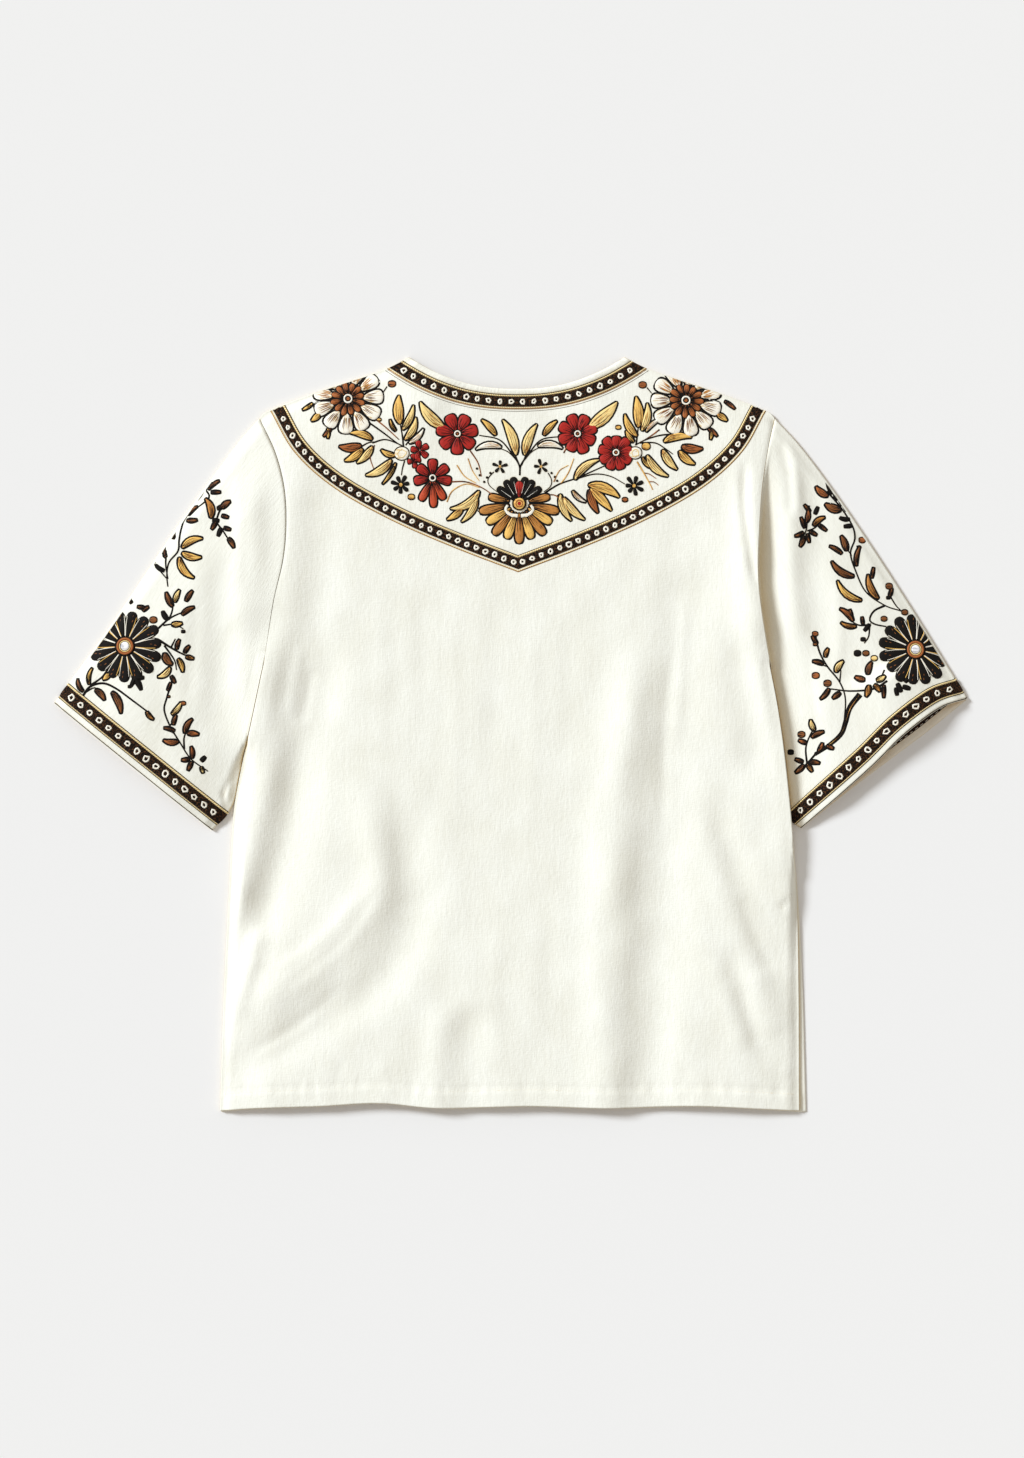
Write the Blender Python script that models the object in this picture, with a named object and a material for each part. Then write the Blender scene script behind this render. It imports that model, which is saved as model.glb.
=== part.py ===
"""A blouse with elbow-length sleeves, laid flat on a surface with its back up.

Every size is in metres. Places on the garment are (across, up): across from the centre-back line,
positive to the right as it is seen here, and up from the hem. The front lies flat on the surface,
and the back and the upper halves of the sleeves rise over it in soft folds.
"""

import math
from collections import namedtuple

import bpy
import numpy as np
from mathutils import Vector
from mathutils.bvhtree import BVHTree

# Cloth and seams
CLOTH = 0.0015
SEAM_GAP = 0.0004
SEAM_EASE = 1.6
LAYER_GAP = 0.0004
SEWN_TOP = 2 * CLOTH + LAYER_GAP
FOLD_RADIUS = SEWN_TOP / 2

# How the upper layer stands over the lower one: a sewn edge rises first steeply, then slowly
LOFT = 0.0070
EDGE_LOFT_SHARE = 0.42
EDGE_RUN = 0.0085
SLOW_RUN = 0.050
FOLDS_RUN = 0.011
HEM_LOFT = 0.72
HEM_RISE = 0.110

# Neck and shoulders
NECK_HALF_WIDTH = 0.097
NECK_POINT_UP = 0.678
BACK_NECK_UP = 0.649
NECK_ROUNDNESS = 2.3
V_NECK_UP = 0.490
NECKBAND_WIDTH = 0.0058
NECKBAND_PROUD = 0.0005
SHOULDER_WIDENING = 1.12

# Trims, measured inwards from the edge that each follows
TRIM_THICKNESS = 0.0010
TRIM_LIFT = 0.0004
NECK_TRIM_FROM, NECK_TRIM_TO = 0.0066, 0.0172
YOKE_TRIM_WIDTH = 0.0138
YOKE_SHIFT = 0.0010
CUFF_TRIM_FROM, CUFF_TRIM_TO = 0.0070, 0.0224
TRIM_STEP = 0.0055
TRIM_END = 0.0022
CLEARING_STEPS = 4

# How many facets each edge has
ARMHOLE_FACETS = 13
SIDE_FACETS = 21
SHOULDER_FACETS = 11
NECK_FACETS = 22
SLEEVE_FACETS = 15
UNDER_FACETS = 12
ARC_STEPS = 4

# The shoulder seam, from the neck point to the sleeve head: (across, up)
SHOULDER = [(0.097, 0.678), (0.122, 0.666), (0.176, 0.648), (0.2235, 0.630), (0.232, 0.623)]

# Armholes, from the sleeve head to the armpit: (across, up)
ARMHOLE_LEFT = [
    (-0.2320, 0.623),
    (-0.2173, 0.592),
    (-0.2090, 0.560),
    (-0.2072, 0.527),
    (-0.2100, 0.495),
    (-0.2187, 0.457),
    (-0.2270, 0.405),
]
ARMHOLE_RIGHT = [
    (0.2320, 0.623),
    (0.2265, 0.600),
    (0.2200, 0.560),
    (0.2170, 0.520),
    (0.2160, 0.485),
    (0.2190, 0.450),
    (0.2275, 0.400),
]

# Side seams, from the armpit to the hem: (across, up)
SIDE_LEFT = [
    (-0.2270, 0.405),
    (-0.2400, 0.345),
    (-0.2500, 0.300),
    (-0.2560, 0.262),
    (-0.2595, 0.200),
    (-0.2640, 0.110),
    (-0.2675, 0.000),
]
SIDE_RIGHT = [
    (0.2275, 0.400),
    (0.2345, 0.364),
    (0.2405, 0.323),
    (0.2470, 0.262),
    (0.2520, 0.200),
    (0.2540, 0.110),
    (0.2545, 0.000),
]
# How far the front shows past the back at the right side seam: (up, width)
FRONT_SHOWS = [(0.000, 0.0070), (0.110, 0.0045), (0.200, 0.0016), (0.262, 0.0)]

# The hem of the back: (across, up). The front's hem hangs a little lower.
HEM = [
    (-0.268, -0.001),
    (-0.232, 0.0018),
    (-0.178, 0.0036),
    (-0.124, 0.0063),
    (-0.070, 0.0018),
    (0.010, 0.0036),
    (0.080, 0.0018),
    (0.160, 0.0036),
    (0.220, 0.0010),
    (0.255, -0.001),
]
FRONT_HEM_DROP = 0.0012

# The V of the yoke trim's middle line, from the point of the V to the shoulder: (across, up)
YOKE = [
    (0.000, 0.4915),
    (0.055, 0.5125),
    (0.110, 0.5365),
    (0.160, 0.5645),
    (0.195, 0.5955),
    (0.2165, 0.6320),
]

# Sleeves: the fold from the sleeve head to the cuff, the underarm edge from the armpit to the cuff,
# and the edge of the cuff from the fold to the underarm, above and below: (across, up)
Sleeve = namedtuple("Sleeve", "armhole fold underarm cuff_above cuff_below")
SLEEVES = {
    "left": Sleeve(
        ARMHOLE_LEFT,
        [(-0.2320, 0.623), (-0.2565, 0.594), (-0.3096, 0.520), (-0.3625, 0.441), (-0.4165, 0.366)],
        [(-0.2270, 0.405), (-0.2400, 0.345), (-0.2497, 0.302), (-0.2562, 0.2735), (-0.2745, 0.2515)],
        [(-0.4165, 0.366), (-0.3440, 0.3075), (-0.2745, 0.2515)],
        [(-0.4165, 0.366), (-0.3440, 0.3065), (-0.2745, 0.2515)],
    ),
    "right": Sleeve(
        ARMHOLE_RIGHT,
        [(0.2320, 0.623), (0.2580, 0.594), (0.2975, 0.540), (0.3520, 0.457), (0.4057, 0.370)],
        [(0.2275, 0.400), (0.2345, 0.364), (0.2405, 0.323), (0.2456, 0.276), (0.2479, 0.2600), (0.2560, 0.2535)],
        [(0.4057, 0.370), (0.3800, 0.3615), (0.3477, 0.338), (0.3160, 0.3065), (0.2560, 0.2535)],
        [(0.4057, 0.370), (0.3700, 0.341), (0.3414, 0.3195), (0.3050, 0.292), (0.2560, 0.2535)],
    ),
}

# Folds of the upper layer: a crest or a trough along a curve through these places, (across, up), with
# its half width and its height above the soft loft. A trough has a negative height.
# The back's right edge stands up beside the sleeve, which is tucked in lower there
ROLL_RISE = 0.0042
ROLL_WIDTH = 0.020
ROLL_TIGHT = 0.70
ROLL_FADE = 0.07
TUCK = 0.80
TUCK_RUN = 0.0125
TUCK_LIP = 0.0016

Fold = namedtuple("Fold", "name half_width height path")
FOLDS = [
    Fold("neck_dip", 0.058, -0.0026, [(-0.070, 0.662), (0.000, 0.640), (0.070, 0.662)]),
    Fold("left_blade", 0.012, 0.0028, [(-0.194, 0.575), (-0.198, 0.500), (-0.213, 0.390)]),
    Fold("left_blade_trough", 0.011, -0.0028, [(-0.170, 0.575), (-0.176, 0.500), (-0.189, 0.390)]),
    Fold("left_side", 0.0115, 0.0046, [(-0.218, 0.400), (-0.232, 0.300), (-0.249, 0.205), (-0.255, 0.140)]),
    Fold(
        "left_side_trough",
        0.0125,
        -0.0048,
        [(-0.188, 0.400), (-0.204, 0.300), (-0.223, 0.200), (-0.238, 0.120)],
    ),
    Fold("left_hip", 0.009, 0.0022, [(-0.228, 0.170), (-0.244, 0.120), (-0.256, 0.075)]),
    Fold(
        "left_sweep",
        0.017,
        0.0024,
        [(-0.144, 0.320), (-0.132, 0.260), (-0.124, 0.204), (-0.160, 0.150), (-0.212, 0.112), (-0.266, 0.075)],
    ),
    Fold(
        "left_sweep_trough",
        0.017,
        -0.0026,
        [(-0.108, 0.300), (-0.096, 0.240), (-0.090, 0.175), (-0.128, 0.110), (-0.190, 0.068), (-0.256, 0.026)],
    ),
    Fold("centre_hem", 0.010, 0.0012, [(-0.066, 0.100), (-0.068, 0.040), (-0.070, -0.030)]),
    Fold("centre_hem_trough", 0.010, -0.0014, [(-0.046, 0.100), (-0.048, 0.040), (-0.050, -0.030)]),
    Fold(
        "right_run",
        0.020,
        0.0030,
        [(0.122, 0.540), (0.102, 0.400), (0.088, 0.250), (0.082, 0.100), (0.080, -0.080)],
    ),
    Fold(
        "right_run_trough",
        0.022,
        -0.0038,
        [(0.164, 0.540), (0.146, 0.400), (0.134, 0.250), (0.126, 0.100), (0.122, -0.080)],
    ),
    Fold("right_edge", 0.012, 0.0020, [(0.207, 0.620), (0.205, 0.500), (0.216, 0.390), (0.232, 0.290)]),
    Fold("right_chest", 0.024, 0.0016, [(0.186, 0.540), (0.192, 0.420), (0.196, 0.300)]),
    Fold("right_sweep", 0.012, 0.0010, [(0.158, 0.270), (0.174, 0.230), (0.190, 0.182), (0.206, 0.142)]),
    Fold(
        "right_sweep_trough",
        0.012,
        -0.0024,
        [(0.172, 0.285), (0.190, 0.240), (0.207, 0.190), (0.223, 0.150), (0.244, 0.112)],
    ),
    Fold("right_bulge", 0.018, 0.0020, [(0.214, 0.310), (0.228, 0.250), (0.236, 0.190)]),
    Fold("right_hip", 0.010, 0.0010, [(0.172, 0.140), (0.184, 0.112), (0.194, 0.082), (0.206, 0.050)]),
    Fold(
        "right_hip_trough",
        0.010,
        -0.0020,
        [(0.186, 0.150), (0.198, 0.125), (0.208, 0.092), (0.219, 0.060), (0.232, 0.036)],
    ),
    Fold("right_hip_bulge", 0.012, 0.0012, [(0.214, 0.130), (0.226, 0.096), (0.238, 0.066)]),
    Fold("left_sleeve_crest", 0.014, 0.0020, [(-0.240, 0.590), (-0.240, 0.480), (-0.250, 0.350)]),
    Fold("left_sleeve_trough", 0.014, -0.0022, [(-0.264, 0.560), (-0.266, 0.450), (-0.272, 0.330)]),
    Fold("left_cuff_arch", 0.040, 0.0012, [(-0.320, 0.380), (-0.345, 0.330), (-0.362, 0.300)]),
    Fold("right_sleeve_trough", 0.011, -0.0024, [(0.262, 0.590), (0.268, 0.540), (0.270, 0.470), (0.276, 0.390)]),
    Fold("right_sleeve_crest", 0.009, 0.0026, [(0.247, 0.600), (0.246, 0.545), (0.246, 0.480), (0.254, 0.400)]),
    Fold("right_cuff_arch", 0.034, 0.0058, [(0.330, 0.405), (0.348, 0.362), (0.372, 0.318)]),
]
FOLD_SAMPLES = 16
FADE = 0.20

# The middle of its width and of its length, which stand over the origin
CENTRE_ACROSS = -0.005565
CENTRE_UP = 0.337915

CREAM = (0.88, 0.85, 0.77)
CREAM_BAND = (0.90, 0.87, 0.80)
BLACK = (0.025, 0.020, 0.018)


def along(points, count):
    """count + 1 points, evenly spaced on a smooth curve through these."""
    p = np.array(points, float)
    p = np.vstack([2 * p[0] - p[1], p, 2 * p[-1] - p[-2]])
    t = np.linspace(0, 1, 40)[:, None]
    fine = []
    for a, b, c, d in zip(p[:-3], p[1:-2], p[2:-1], p[3:]):
        fine.append(
            0.5 * (2 * b + (c - a) * t + (2 * a - 5 * b + 4 * c - d) * t**2 + (3 * b - a - 3 * c + d) * t**3)
        )
    return spaced(np.vstack(fine), count)


def spaced(line, count):
    """count + 1 points, evenly spaced along a line."""
    steps = np.linalg.norm(np.diff(line, axis=0), axis=1)
    run = np.concatenate([[0], np.cumsum(steps)])
    at = np.linspace(0, run[-1], count + 1)
    return np.stack([np.interp(at, run, line[:, k]) for k in range(2)], axis=1)


def sideways(line):
    """The unit normals of a line, to the left of its direction."""
    ahead = np.gradient(line, axis=0)
    ahead /= np.linalg.norm(ahead, axis=1)[:, None]
    return np.stack([-ahead[:, 1], ahead[:, 0]], axis=1)


def mirrored(points):
    return [(-across, up) for across, up in points]


def shoulder_up(across):
    """The height of the shoulder seam above the hem."""
    line = along(SHOULDER, 60)
    return np.interp(abs(across), line[:, 0], line[:, 1])


def neck_line(depth, count):
    """The back neck's curve, that far inwards from its edge, from the left shoulder to the right."""
    half = NECK_HALF_WIDTH + depth * SHOULDER_WIDENING
    low = BACK_NECK_UP - depth
    rise = shoulder_up(half) - low
    across = half * np.sin(np.linspace(-0.5, 0.5, 200) * math.pi)
    up = low + rise * np.abs(across / half) ** NECK_ROUNDNESS
    return spaced(np.stack([across, up], axis=1), count)


def distance(points, line):
    """How far each point is from a line, and how far along the line its nearest point is, from 0 to 1."""
    best = np.full(len(points), np.inf)
    share = np.zeros(len(points))
    run = len(line) - 1
    for i in range(run):
        a, step = line[i], line[i + 1] - line[i]
        t = np.clip((points - a) @ step / (step @ step), 0, 1)
        away = np.linalg.norm(points - a - t[:, None] * step, axis=1)
        nearer = away < best
        best = np.where(nearer, away, best)
        share = np.where(nearer, (i + t) / run, share)
    return best, share


def eased(t):
    t = np.clip(t, 0, 1)
    return t * t * (3 - 2 * t)


def closing_edges():
    """The edges where the upper layer meets the lower: shoulder and sleeve folds, sides and underarms."""
    top_left = np.vstack([along(mirrored(SHOULDER), 20), along(SLEEVES["left"].fold, 30)])
    top_right = np.vstack([along(SHOULDER, 20), along(SLEEVES["right"].fold, 30)])
    sides = [along(SIDE_LEFT, 40), along(SIDE_RIGHT, 40)]
    unders = [along(SLEEVES[side].underarm, 30) for side in ("left", "right")]
    return [top_left, top_right], sides, unders


TOP_EDGES, SIDE_EDGES, UNDER_EDGES = closing_edges()
FOLD_LINES = [along(fold.path, FOLD_SAMPLES) for fold in FOLDS]
ROLL_LINE = along([*ARMHOLE_RIGHT, *SIDE_RIGHT[1:5]], 36)


def nearest(points, lines):
    return np.min([distance(points, line)[0] for line in lines], axis=0)


def height(points, edges):
    """The top of the upper layer at these places. edges are the sides where it closes."""
    from_top = nearest(points, TOP_EDGES) - FOLD_RADIUS
    from_side = nearest(points, edges) - FOLD_RADIUS
    away, share = distance(points, ROLL_LINE)
    rolling = eased(share / ROLL_FADE) * eased((1 - share) / ROLL_FADE)
    bulge = rolling * np.exp(-((away / ROLL_WIDTH) ** 2))
    run = EDGE_RUN * (1 - ROLL_TIGHT * bulge) if edges is SIDE_EDGES else EDGE_RUN
    steep = eased(from_top / EDGE_RUN) * eased(from_side / run)
    slow = eased(from_top / SLOW_RUN) * eased(from_side / SLOW_RUN)
    total = LOFT * (EDGE_LOFT_SHARE * steep + (1 - EDGE_LOFT_SHARE) * slow)
    folds = np.zeros(len(points))
    for fold, line in zip(FOLDS, FOLD_LINES):
        away, share = distance(points, line)
        fade = eased(share / FADE) * eased((1 - share) / FADE)
        folds += fold.height * np.exp(-((away / fold.half_width) ** 2)) * fade
    folds *= eased(from_top / FOLDS_RUN) * eased(from_side / FOLDS_RUN)
    # a trough flattens out before the two layers meet
    total = total * np.exp(np.minimum(folds, 0) / np.maximum(total, 1e-6)) + np.maximum(folds, 0)
    lip = 0 if edges is SIDE_EDGES else eased(away / TUCK_LIP)
    total *= 1 - TUCK * rolling * np.exp(-((away / TUCK_RUN) ** 2)) * lip
    total += ROLL_RISE * bulge * steep * (1 - lip)
    return SEWN_TOP + total * (HEM_LOFT + (1 - HEM_LOFT) * eased(points[:, 1] / HEM_RISE))


def facing(points, edges, step=0.0005):
    """The upward normals of the upper layer at these places."""
    slopes = []
    for axis in ((step, 0), (0, step)):
        ahead = height(points + axis, edges)
        behind = height(points - axis, edges)
        slopes.append((ahead - behind) / (2 * step))
    normals = np.stack([-slopes[0], -slopes[1], np.ones(len(points))], axis=1)
    return normals / np.linalg.norm(normals, axis=1)[:, None]


def between(top, bottom, left, right):
    """A grid of points that fills the four edges: rows run from top to bottom."""
    rows, columns = len(left), len(top)
    v = np.linspace(0, 1, rows)[:, None, None]
    u = np.linspace(0, 1, columns)[None, :, None]
    across = (1 - u) * left[:, None] + u * right[:, None]
    down = (1 - v) * top[None] + v * bottom[None]
    corners = (
        (1 - u) * (1 - v) * top[0]
        + u * (1 - v) * top[-1]
        + (1 - u) * v * bottom[0]
        + u * v * bottom[-1]
    )
    return across + down - corners


def finish(name, material, points, faces):
    """A closed solid from points on the garment, made of triangles that face outwards."""
    points = np.array(points, float) - (CENTRE_ACROSS, CENTRE_UP, 0)
    mesh = bpy.data.meshes.new(name)
    mesh.from_pydata([tuple(p) for p in points], [], faces)
    mesh.materials.append(material)
    solid = bpy.data.objects.new(name, mesh)
    GARMENT.objects.link(solid)
    split = solid.modifiers.new("facets", "TRIANGULATE")
    split.quad_method = "SHORTEST_DIAGONAL"
    whole = mesh_volume(mesh)
    if whole < 0:
        mesh.flip_normals()
    return solid


def mesh_volume(mesh):
    mesh.calc_loop_triangles()
    corners = np.array([[mesh.vertices[i].co for i in t.vertices] for t in mesh.loop_triangles])
    return np.einsum("ij,ij->i", corners[:, 0], np.cross(corners[:, 1], corners[:, 2])).sum() / 6


def sheet(name, material, upper, lower):
    """A wall between two grids of points, closed by rims all round."""
    rows, columns = upper.shape[:2]
    count = rows * columns

    def at(row, column):
        return row * columns + column

    faces = []
    for r in range(rows - 1):
        for c in range(columns - 1):
            face = [at(r, c), at(r, c + 1), at(r + 1, c + 1), at(r + 1, c)]
            faces.append(face)
            faces.append([count + i for i in reversed(face)])
    rim = [at(0, c) for c in range(columns)]
    rim += [at(r, columns - 1) for r in range(1, rows)]
    rim += [at(rows - 1, c) for c in range(columns - 2, -1, -1)]
    rim += [at(r, 0) for r in range(rows - 2, 0, -1)]
    for a, b in zip(rim, rim[1:] + rim[:1]):
        faces.append([b, a, count + a, count + b])
    return finish(name, material, [*upper.reshape(-1, 3), *lower.reshape(-1, 3)], faces)


def tube(name, material, outer, inner):
    """A tubular wall through rings of points, outside and inside, open at both ends."""
    rings, round_it = outer.shape[:2]
    count = rings * round_it
    faces = []
    for r in range(rings - 1):
        for i in range(round_it):
            j = (i + 1) % round_it
            a, b = r * round_it + i, r * round_it + j
            c, d = (r + 1) * round_it + j, (r + 1) * round_it + i
            faces.append([a, b, c, d])
            faces.append([count + d, count + c, count + b, count + a])
    for first in (0, (rings - 1) * round_it):
        for i in range(round_it):
            a, b = first + i, first + (i + 1) % round_it
            rim = [a, count + a, count + b, b]
            faces.append(rim if first == 0 else rim[::-1])
    return finish(name, material, [*outer.reshape(-1, 3), *inner.reshape(-1, 3)], faces)


def slab(name, material, outline, thickness):
    """A flat piece of cloth on the surface, as a filled outline."""
    curve = bpy.data.curves.new(name, "CURVE")
    curve.dimensions = "2D"
    curve.fill_mode = "BOTH"
    curve.extrude = thickness / 2
    spline = curve.splines.new("POLY")
    spline.points.add(len(outline) - 1)
    for point, (across, up) in zip(spline.points, outline):
        point.co = (across - CENTRE_ACROSS, up - CENTRE_UP, 0, 1)
    spline.use_cyclic_u = True
    curve.materials.append(material)
    piece = bpy.data.objects.new(name, curve)
    piece.location.z = thickness / 2
    GARMENT.objects.link(piece)
    return piece


def solid_from(points, proud=0.0):
    """The outer and inner faces of the back at a grid of places."""
    flat = points.reshape(-1, 2)
    top = np.column_stack([flat, height(flat, SIDE_EDGES)])
    normals = facing(flat, SIDE_EDGES)
    shape = (*points.shape[:2], 3)
    return (top + proud * normals).reshape(shape), (top - CLOTH * normals).reshape(shape)


def hem_line(count):
    left, right = SIDE_LEFT[-1][0], SIDE_RIGHT[-1][0]
    line = along(HEM, 200)
    across = np.linspace(left, right, count + 1)
    return np.stack([across, np.interp(across, line[:, 0], line[:, 1])], axis=1)


def body_edge(armhole, side, hem_up):
    """One side of the body, from the sleeve head to the hem."""
    low = side[:-1] + [(side[-1][0], hem_up)]
    return np.vstack([along(armhole, ARMHOLE_FACETS), along(low, SIDE_FACETS)[1:]])


def back_top():
    """The upper edge of the back: left shoulder, neck seam and right shoulder."""
    neck = neck_line(NECKBAND_WIDTH, NECK_FACETS)
    shoulder = along(SHOULDER, 120)
    shoulder = spaced(shoulder[shoulder[:, 0] > neck[-1, 0]], SHOULDER_FACETS)
    shoulder[0] = neck[-1]
    left = shoulder[::-1] * (-1, 1)
    return np.vstack([left[:-1], neck, shoulder[1:]])


def make_back(material):
    top, hem = back_top(), hem_line(2 * SHOULDER_FACETS + NECK_FACETS)
    left = body_edge(ARMHOLE_LEFT, SIDE_LEFT, hem[0, 1])
    right = body_edge(ARMHOLE_RIGHT, SIDE_RIGHT, hem[-1, 1])
    upper, lower = solid_from(between(top, hem, left, right))
    return sheet("back", material, upper, lower)


def make_back_neckband(material):
    """The narrow band at the back neck, sewn on edge to edge."""
    edge = neck_line(0, NECK_FACETS)
    seam = neck_line(NECKBAND_WIDTH - SEAM_GAP, NECK_FACETS)
    places = between(edge, seam, np.linspace(edge[0], seam[0], 3), np.linspace(edge[-1], seam[-1], 3))
    upper, lower = solid_from(places, NECKBAND_PROUD)
    return sheet("back_neckband", material, upper, lower)


def front_neck(depth):
    """The right half of the front's V, that far inwards from its edge: its top and its point."""
    slope = (NECK_POINT_UP - V_NECK_UP) / NECK_HALF_WIDTH
    top = NECK_HALF_WIDTH + depth * SHOULDER_WIDENING
    low = V_NECK_UP - depth * math.hypot(1, slope)
    return (top, shoulder_up(top)), (0, low)


def make_front(material):
    """The front lies flat under the back, with a plain V neck."""
    top, point = front_neck(NECKBAND_WIDTH)
    shoulder = along(SHOULDER, 120)
    shoulder = spaced(shoulder[shoulder[:, 0] > top[0]], SHOULDER_FACETS)
    shoulder[0] = top
    left = np.vstack([along(ARMHOLE_LEFT, ARMHOLE_FACETS), along(SIDE_LEFT, SIDE_FACETS)[1:]])
    right = np.vstack([along(ARMHOLE_RIGHT, ARMHOLE_FACETS), along(SIDE_RIGHT, SIDE_FACETS)[1:]])
    ups, widths = zip(*FRONT_SHOWS)
    right[:, 0] += np.interp(right[:, 1], ups, widths)
    hem = hem_line(24)
    hem[:, 0] = np.linspace(left[-1, 0], right[-1, 0], len(hem))
    hem[:, 1] -= FRONT_HEM_DROP
    outline = [*(shoulder * (-1, 1))[:-1], *left[:-1], *hem, *right[::-1][1:], *shoulder[::-1][1:], point]
    return slab("front", material, outline, CLOTH)


def make_front_neckbands(material):
    """The two arms of the front's neckband meet in a mitre at the point of the V."""
    outer, outer_point = front_neck(0)
    inner, inner_point = front_neck(NECKBAND_WIDTH - SEAM_GAP)
    gap = SEAM_GAP / 2
    arm = [(gap, outer_point[1]), outer, inner, (gap, inner_point[1])]
    slab("front_neckband_right", material, arm, CLOTH)
    slab("front_neckband_left", material, mirrored(arm)[::-1], CLOTH)


def sleeve_layer(sleeve, cuff, facets):
    """A grid of places on one layer of a sleeve: a row for each ring, from its fold to its underarm."""
    armhole = along(sleeve.armhole, facets)
    fold = along(sleeve.fold, SLEEVE_FACETS)
    underarm = along(sleeve.underarm, SLEEVE_FACETS)
    return between(armhole, along(cuff, facets), fold, underarm)


def inset(row):
    """The places across one layer of a sleeve, without the folds at its two edges."""
    share = FOLD_RADIUS / np.linalg.norm(row[0] - row[-1])
    run = np.linspace(0, 1, len(row))
    at = np.linspace(share, 1 - share, len(row))
    return np.stack([np.interp(at, run, row[:, k]) for k in range(2)], axis=1)


def fold_arc(centre, outward, radius):
    """Points round a fold, from just below its top to just above its foot."""
    angles = np.linspace(math.pi / 2, -math.pi / 2, ARC_STEPS + 1)[1:-1]
    return [
        (*(centre + outward * radius * math.cos(a)), FOLD_RADIUS + radius * math.sin(a)) for a in angles
    ]


def sleeve_rings(sleeve):
    """The outer and inner rings of a sleeve, from the armhole to the cuff."""
    over = sleeve_layer(sleeve, sleeve.cuff_above, ARMHOLE_FACETS)
    under = sleeve_layer(sleeve, sleeve.cuff_below, UNDER_FACETS)
    away = 1 if sleeve.fold[-1][0] > 0 else -1
    over[..., 0] += away * SEAM_GAP * SEAM_EASE
    under[..., 0] += away * SEAM_GAP * SEAM_EASE
    outer, inner = [], []
    for row, low in zip(over, under):
        across = inset(row)
        below = inset(low)
        top = np.column_stack([across, height(across, UNDER_EDGES)])
        lining = top - CLOTH * facing(across, UNDER_EDGES)
        outward = (row[0] - row[-1]) / np.linalg.norm(row[0] - row[-1])
        for rings, upper, radius, foot in (
            (outer, top, FOLD_RADIUS, 0.0),
            (inner, lining, FOLD_RADIUS - CLOTH, CLOTH),
        ):
            floor = [(*place, foot) for place in below[::-1]]
            under_fold = fold_arc(across[-1], -outward, radius)
            outer_fold = fold_arc(across[0], outward, radius)
            rings.append([*upper, *under_fold, *floor, *outer_fold[::-1]])
    return np.array(outer), np.array(inner)


def make_sleeve(side, material):
    outer, inner = sleeve_rings(SLEEVES[side])
    return tube(f"sleeve_{side}", material, outer, inner)


def tree_of(solid):
    """A search tree of a solid's facets, for laying trims on them."""
    graph = bpy.context.evaluated_depsgraph_get()
    shape = solid.evaluated_get(graph)
    mesh = shape.to_mesh()
    points = [v.co.copy() for v in mesh.vertices]
    tree = BVHTree.FromPolygons(points, [tuple(p.vertices) for p in mesh.polygons])
    shape.to_mesh_clear()
    return tree


def surface(tree, places):
    """The facets' heights at these places on the garment."""
    high = 0.1
    found = []
    for across, up in places.reshape(-1, 2):
        above = Vector((across - CENTRE_ACROSS, up - CENTRE_UP, high))
        hit = tree.ray_cast(above, Vector((0, 0, -1)))[0]
        found.append(hit.z if hit else math.nan)
    return np.array(found).reshape(places.shape[:-1])


def laid(tree, places):
    """Heights at a grid of places that clear the facets everywhere between them too."""
    low = surface(tree, places)
    shares = np.linspace(0, 1, CLEARING_STEPS)
    for u in shares:
        for v in shares:
            weights = ((1 - u) * (1 - v), u * (1 - v), (1 - u) * v, u * v)
            corners = [
                (slice(None, -1), slice(None, -1)),
                (slice(None, -1), slice(1, None)),
                (slice(1, None), slice(None, -1)),
                (slice(1, None), slice(1, None)),
            ]
            inside = sum(w * places[c] for w, c in zip(weights, corners))
            short = surface(tree, inside) - sum(w * low[c] for w, c in zip(weights, corners))
            short = np.maximum(short, 0)
            for c in corners:
                low[c] = low[c] + short
    return low


def make_trim(name, material, solid, places):
    """A ribbon that lies on a panel, at a grid of places: rows across it, columns along it."""
    low = laid(tree_of(solid), places) + TRIM_LIFT
    if np.isnan(low).any():
        raise ValueError(f"{name} runs off {solid.name}")
    upper = np.concatenate([places, (low + TRIM_THICKNESS)[..., None]], axis=2)
    lower = np.concatenate([places, low[..., None]], axis=2)
    return sheet(name, material, upper, lower)


def shortened(line, end):
    """The line without its two ends, evenly spaced again for a trim."""
    steps = np.linalg.norm(np.diff(line, axis=0), axis=1)
    run = np.concatenate([[0], np.cumsum(steps)])
    kept = line[(run > end) & (run < run[-1] - end)]
    length = np.linalg.norm(np.diff(kept, axis=0), axis=1).sum()
    return spaced(kept, round(length / TRIM_STEP))


def make_neck_trim(material, back):
    middle = (NECK_TRIM_FROM + NECK_TRIM_TO) / 2
    count = len(shortened(neck_line(middle, 400), TRIM_END)) - 1
    rows = []
    for depth in (NECK_TRIM_FROM, middle, NECK_TRIM_TO):
        whole = neck_line(depth, 400)
        run = np.linalg.norm(np.diff(whole, axis=0), axis=1).cumsum()
        kept = whole[1:][(run > TRIM_END) & (run < run[-1] - TRIM_END)]
        rows.append(spaced(kept, count))
    return make_trim("back_neck_trim", material, back, np.array(rows))


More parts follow.
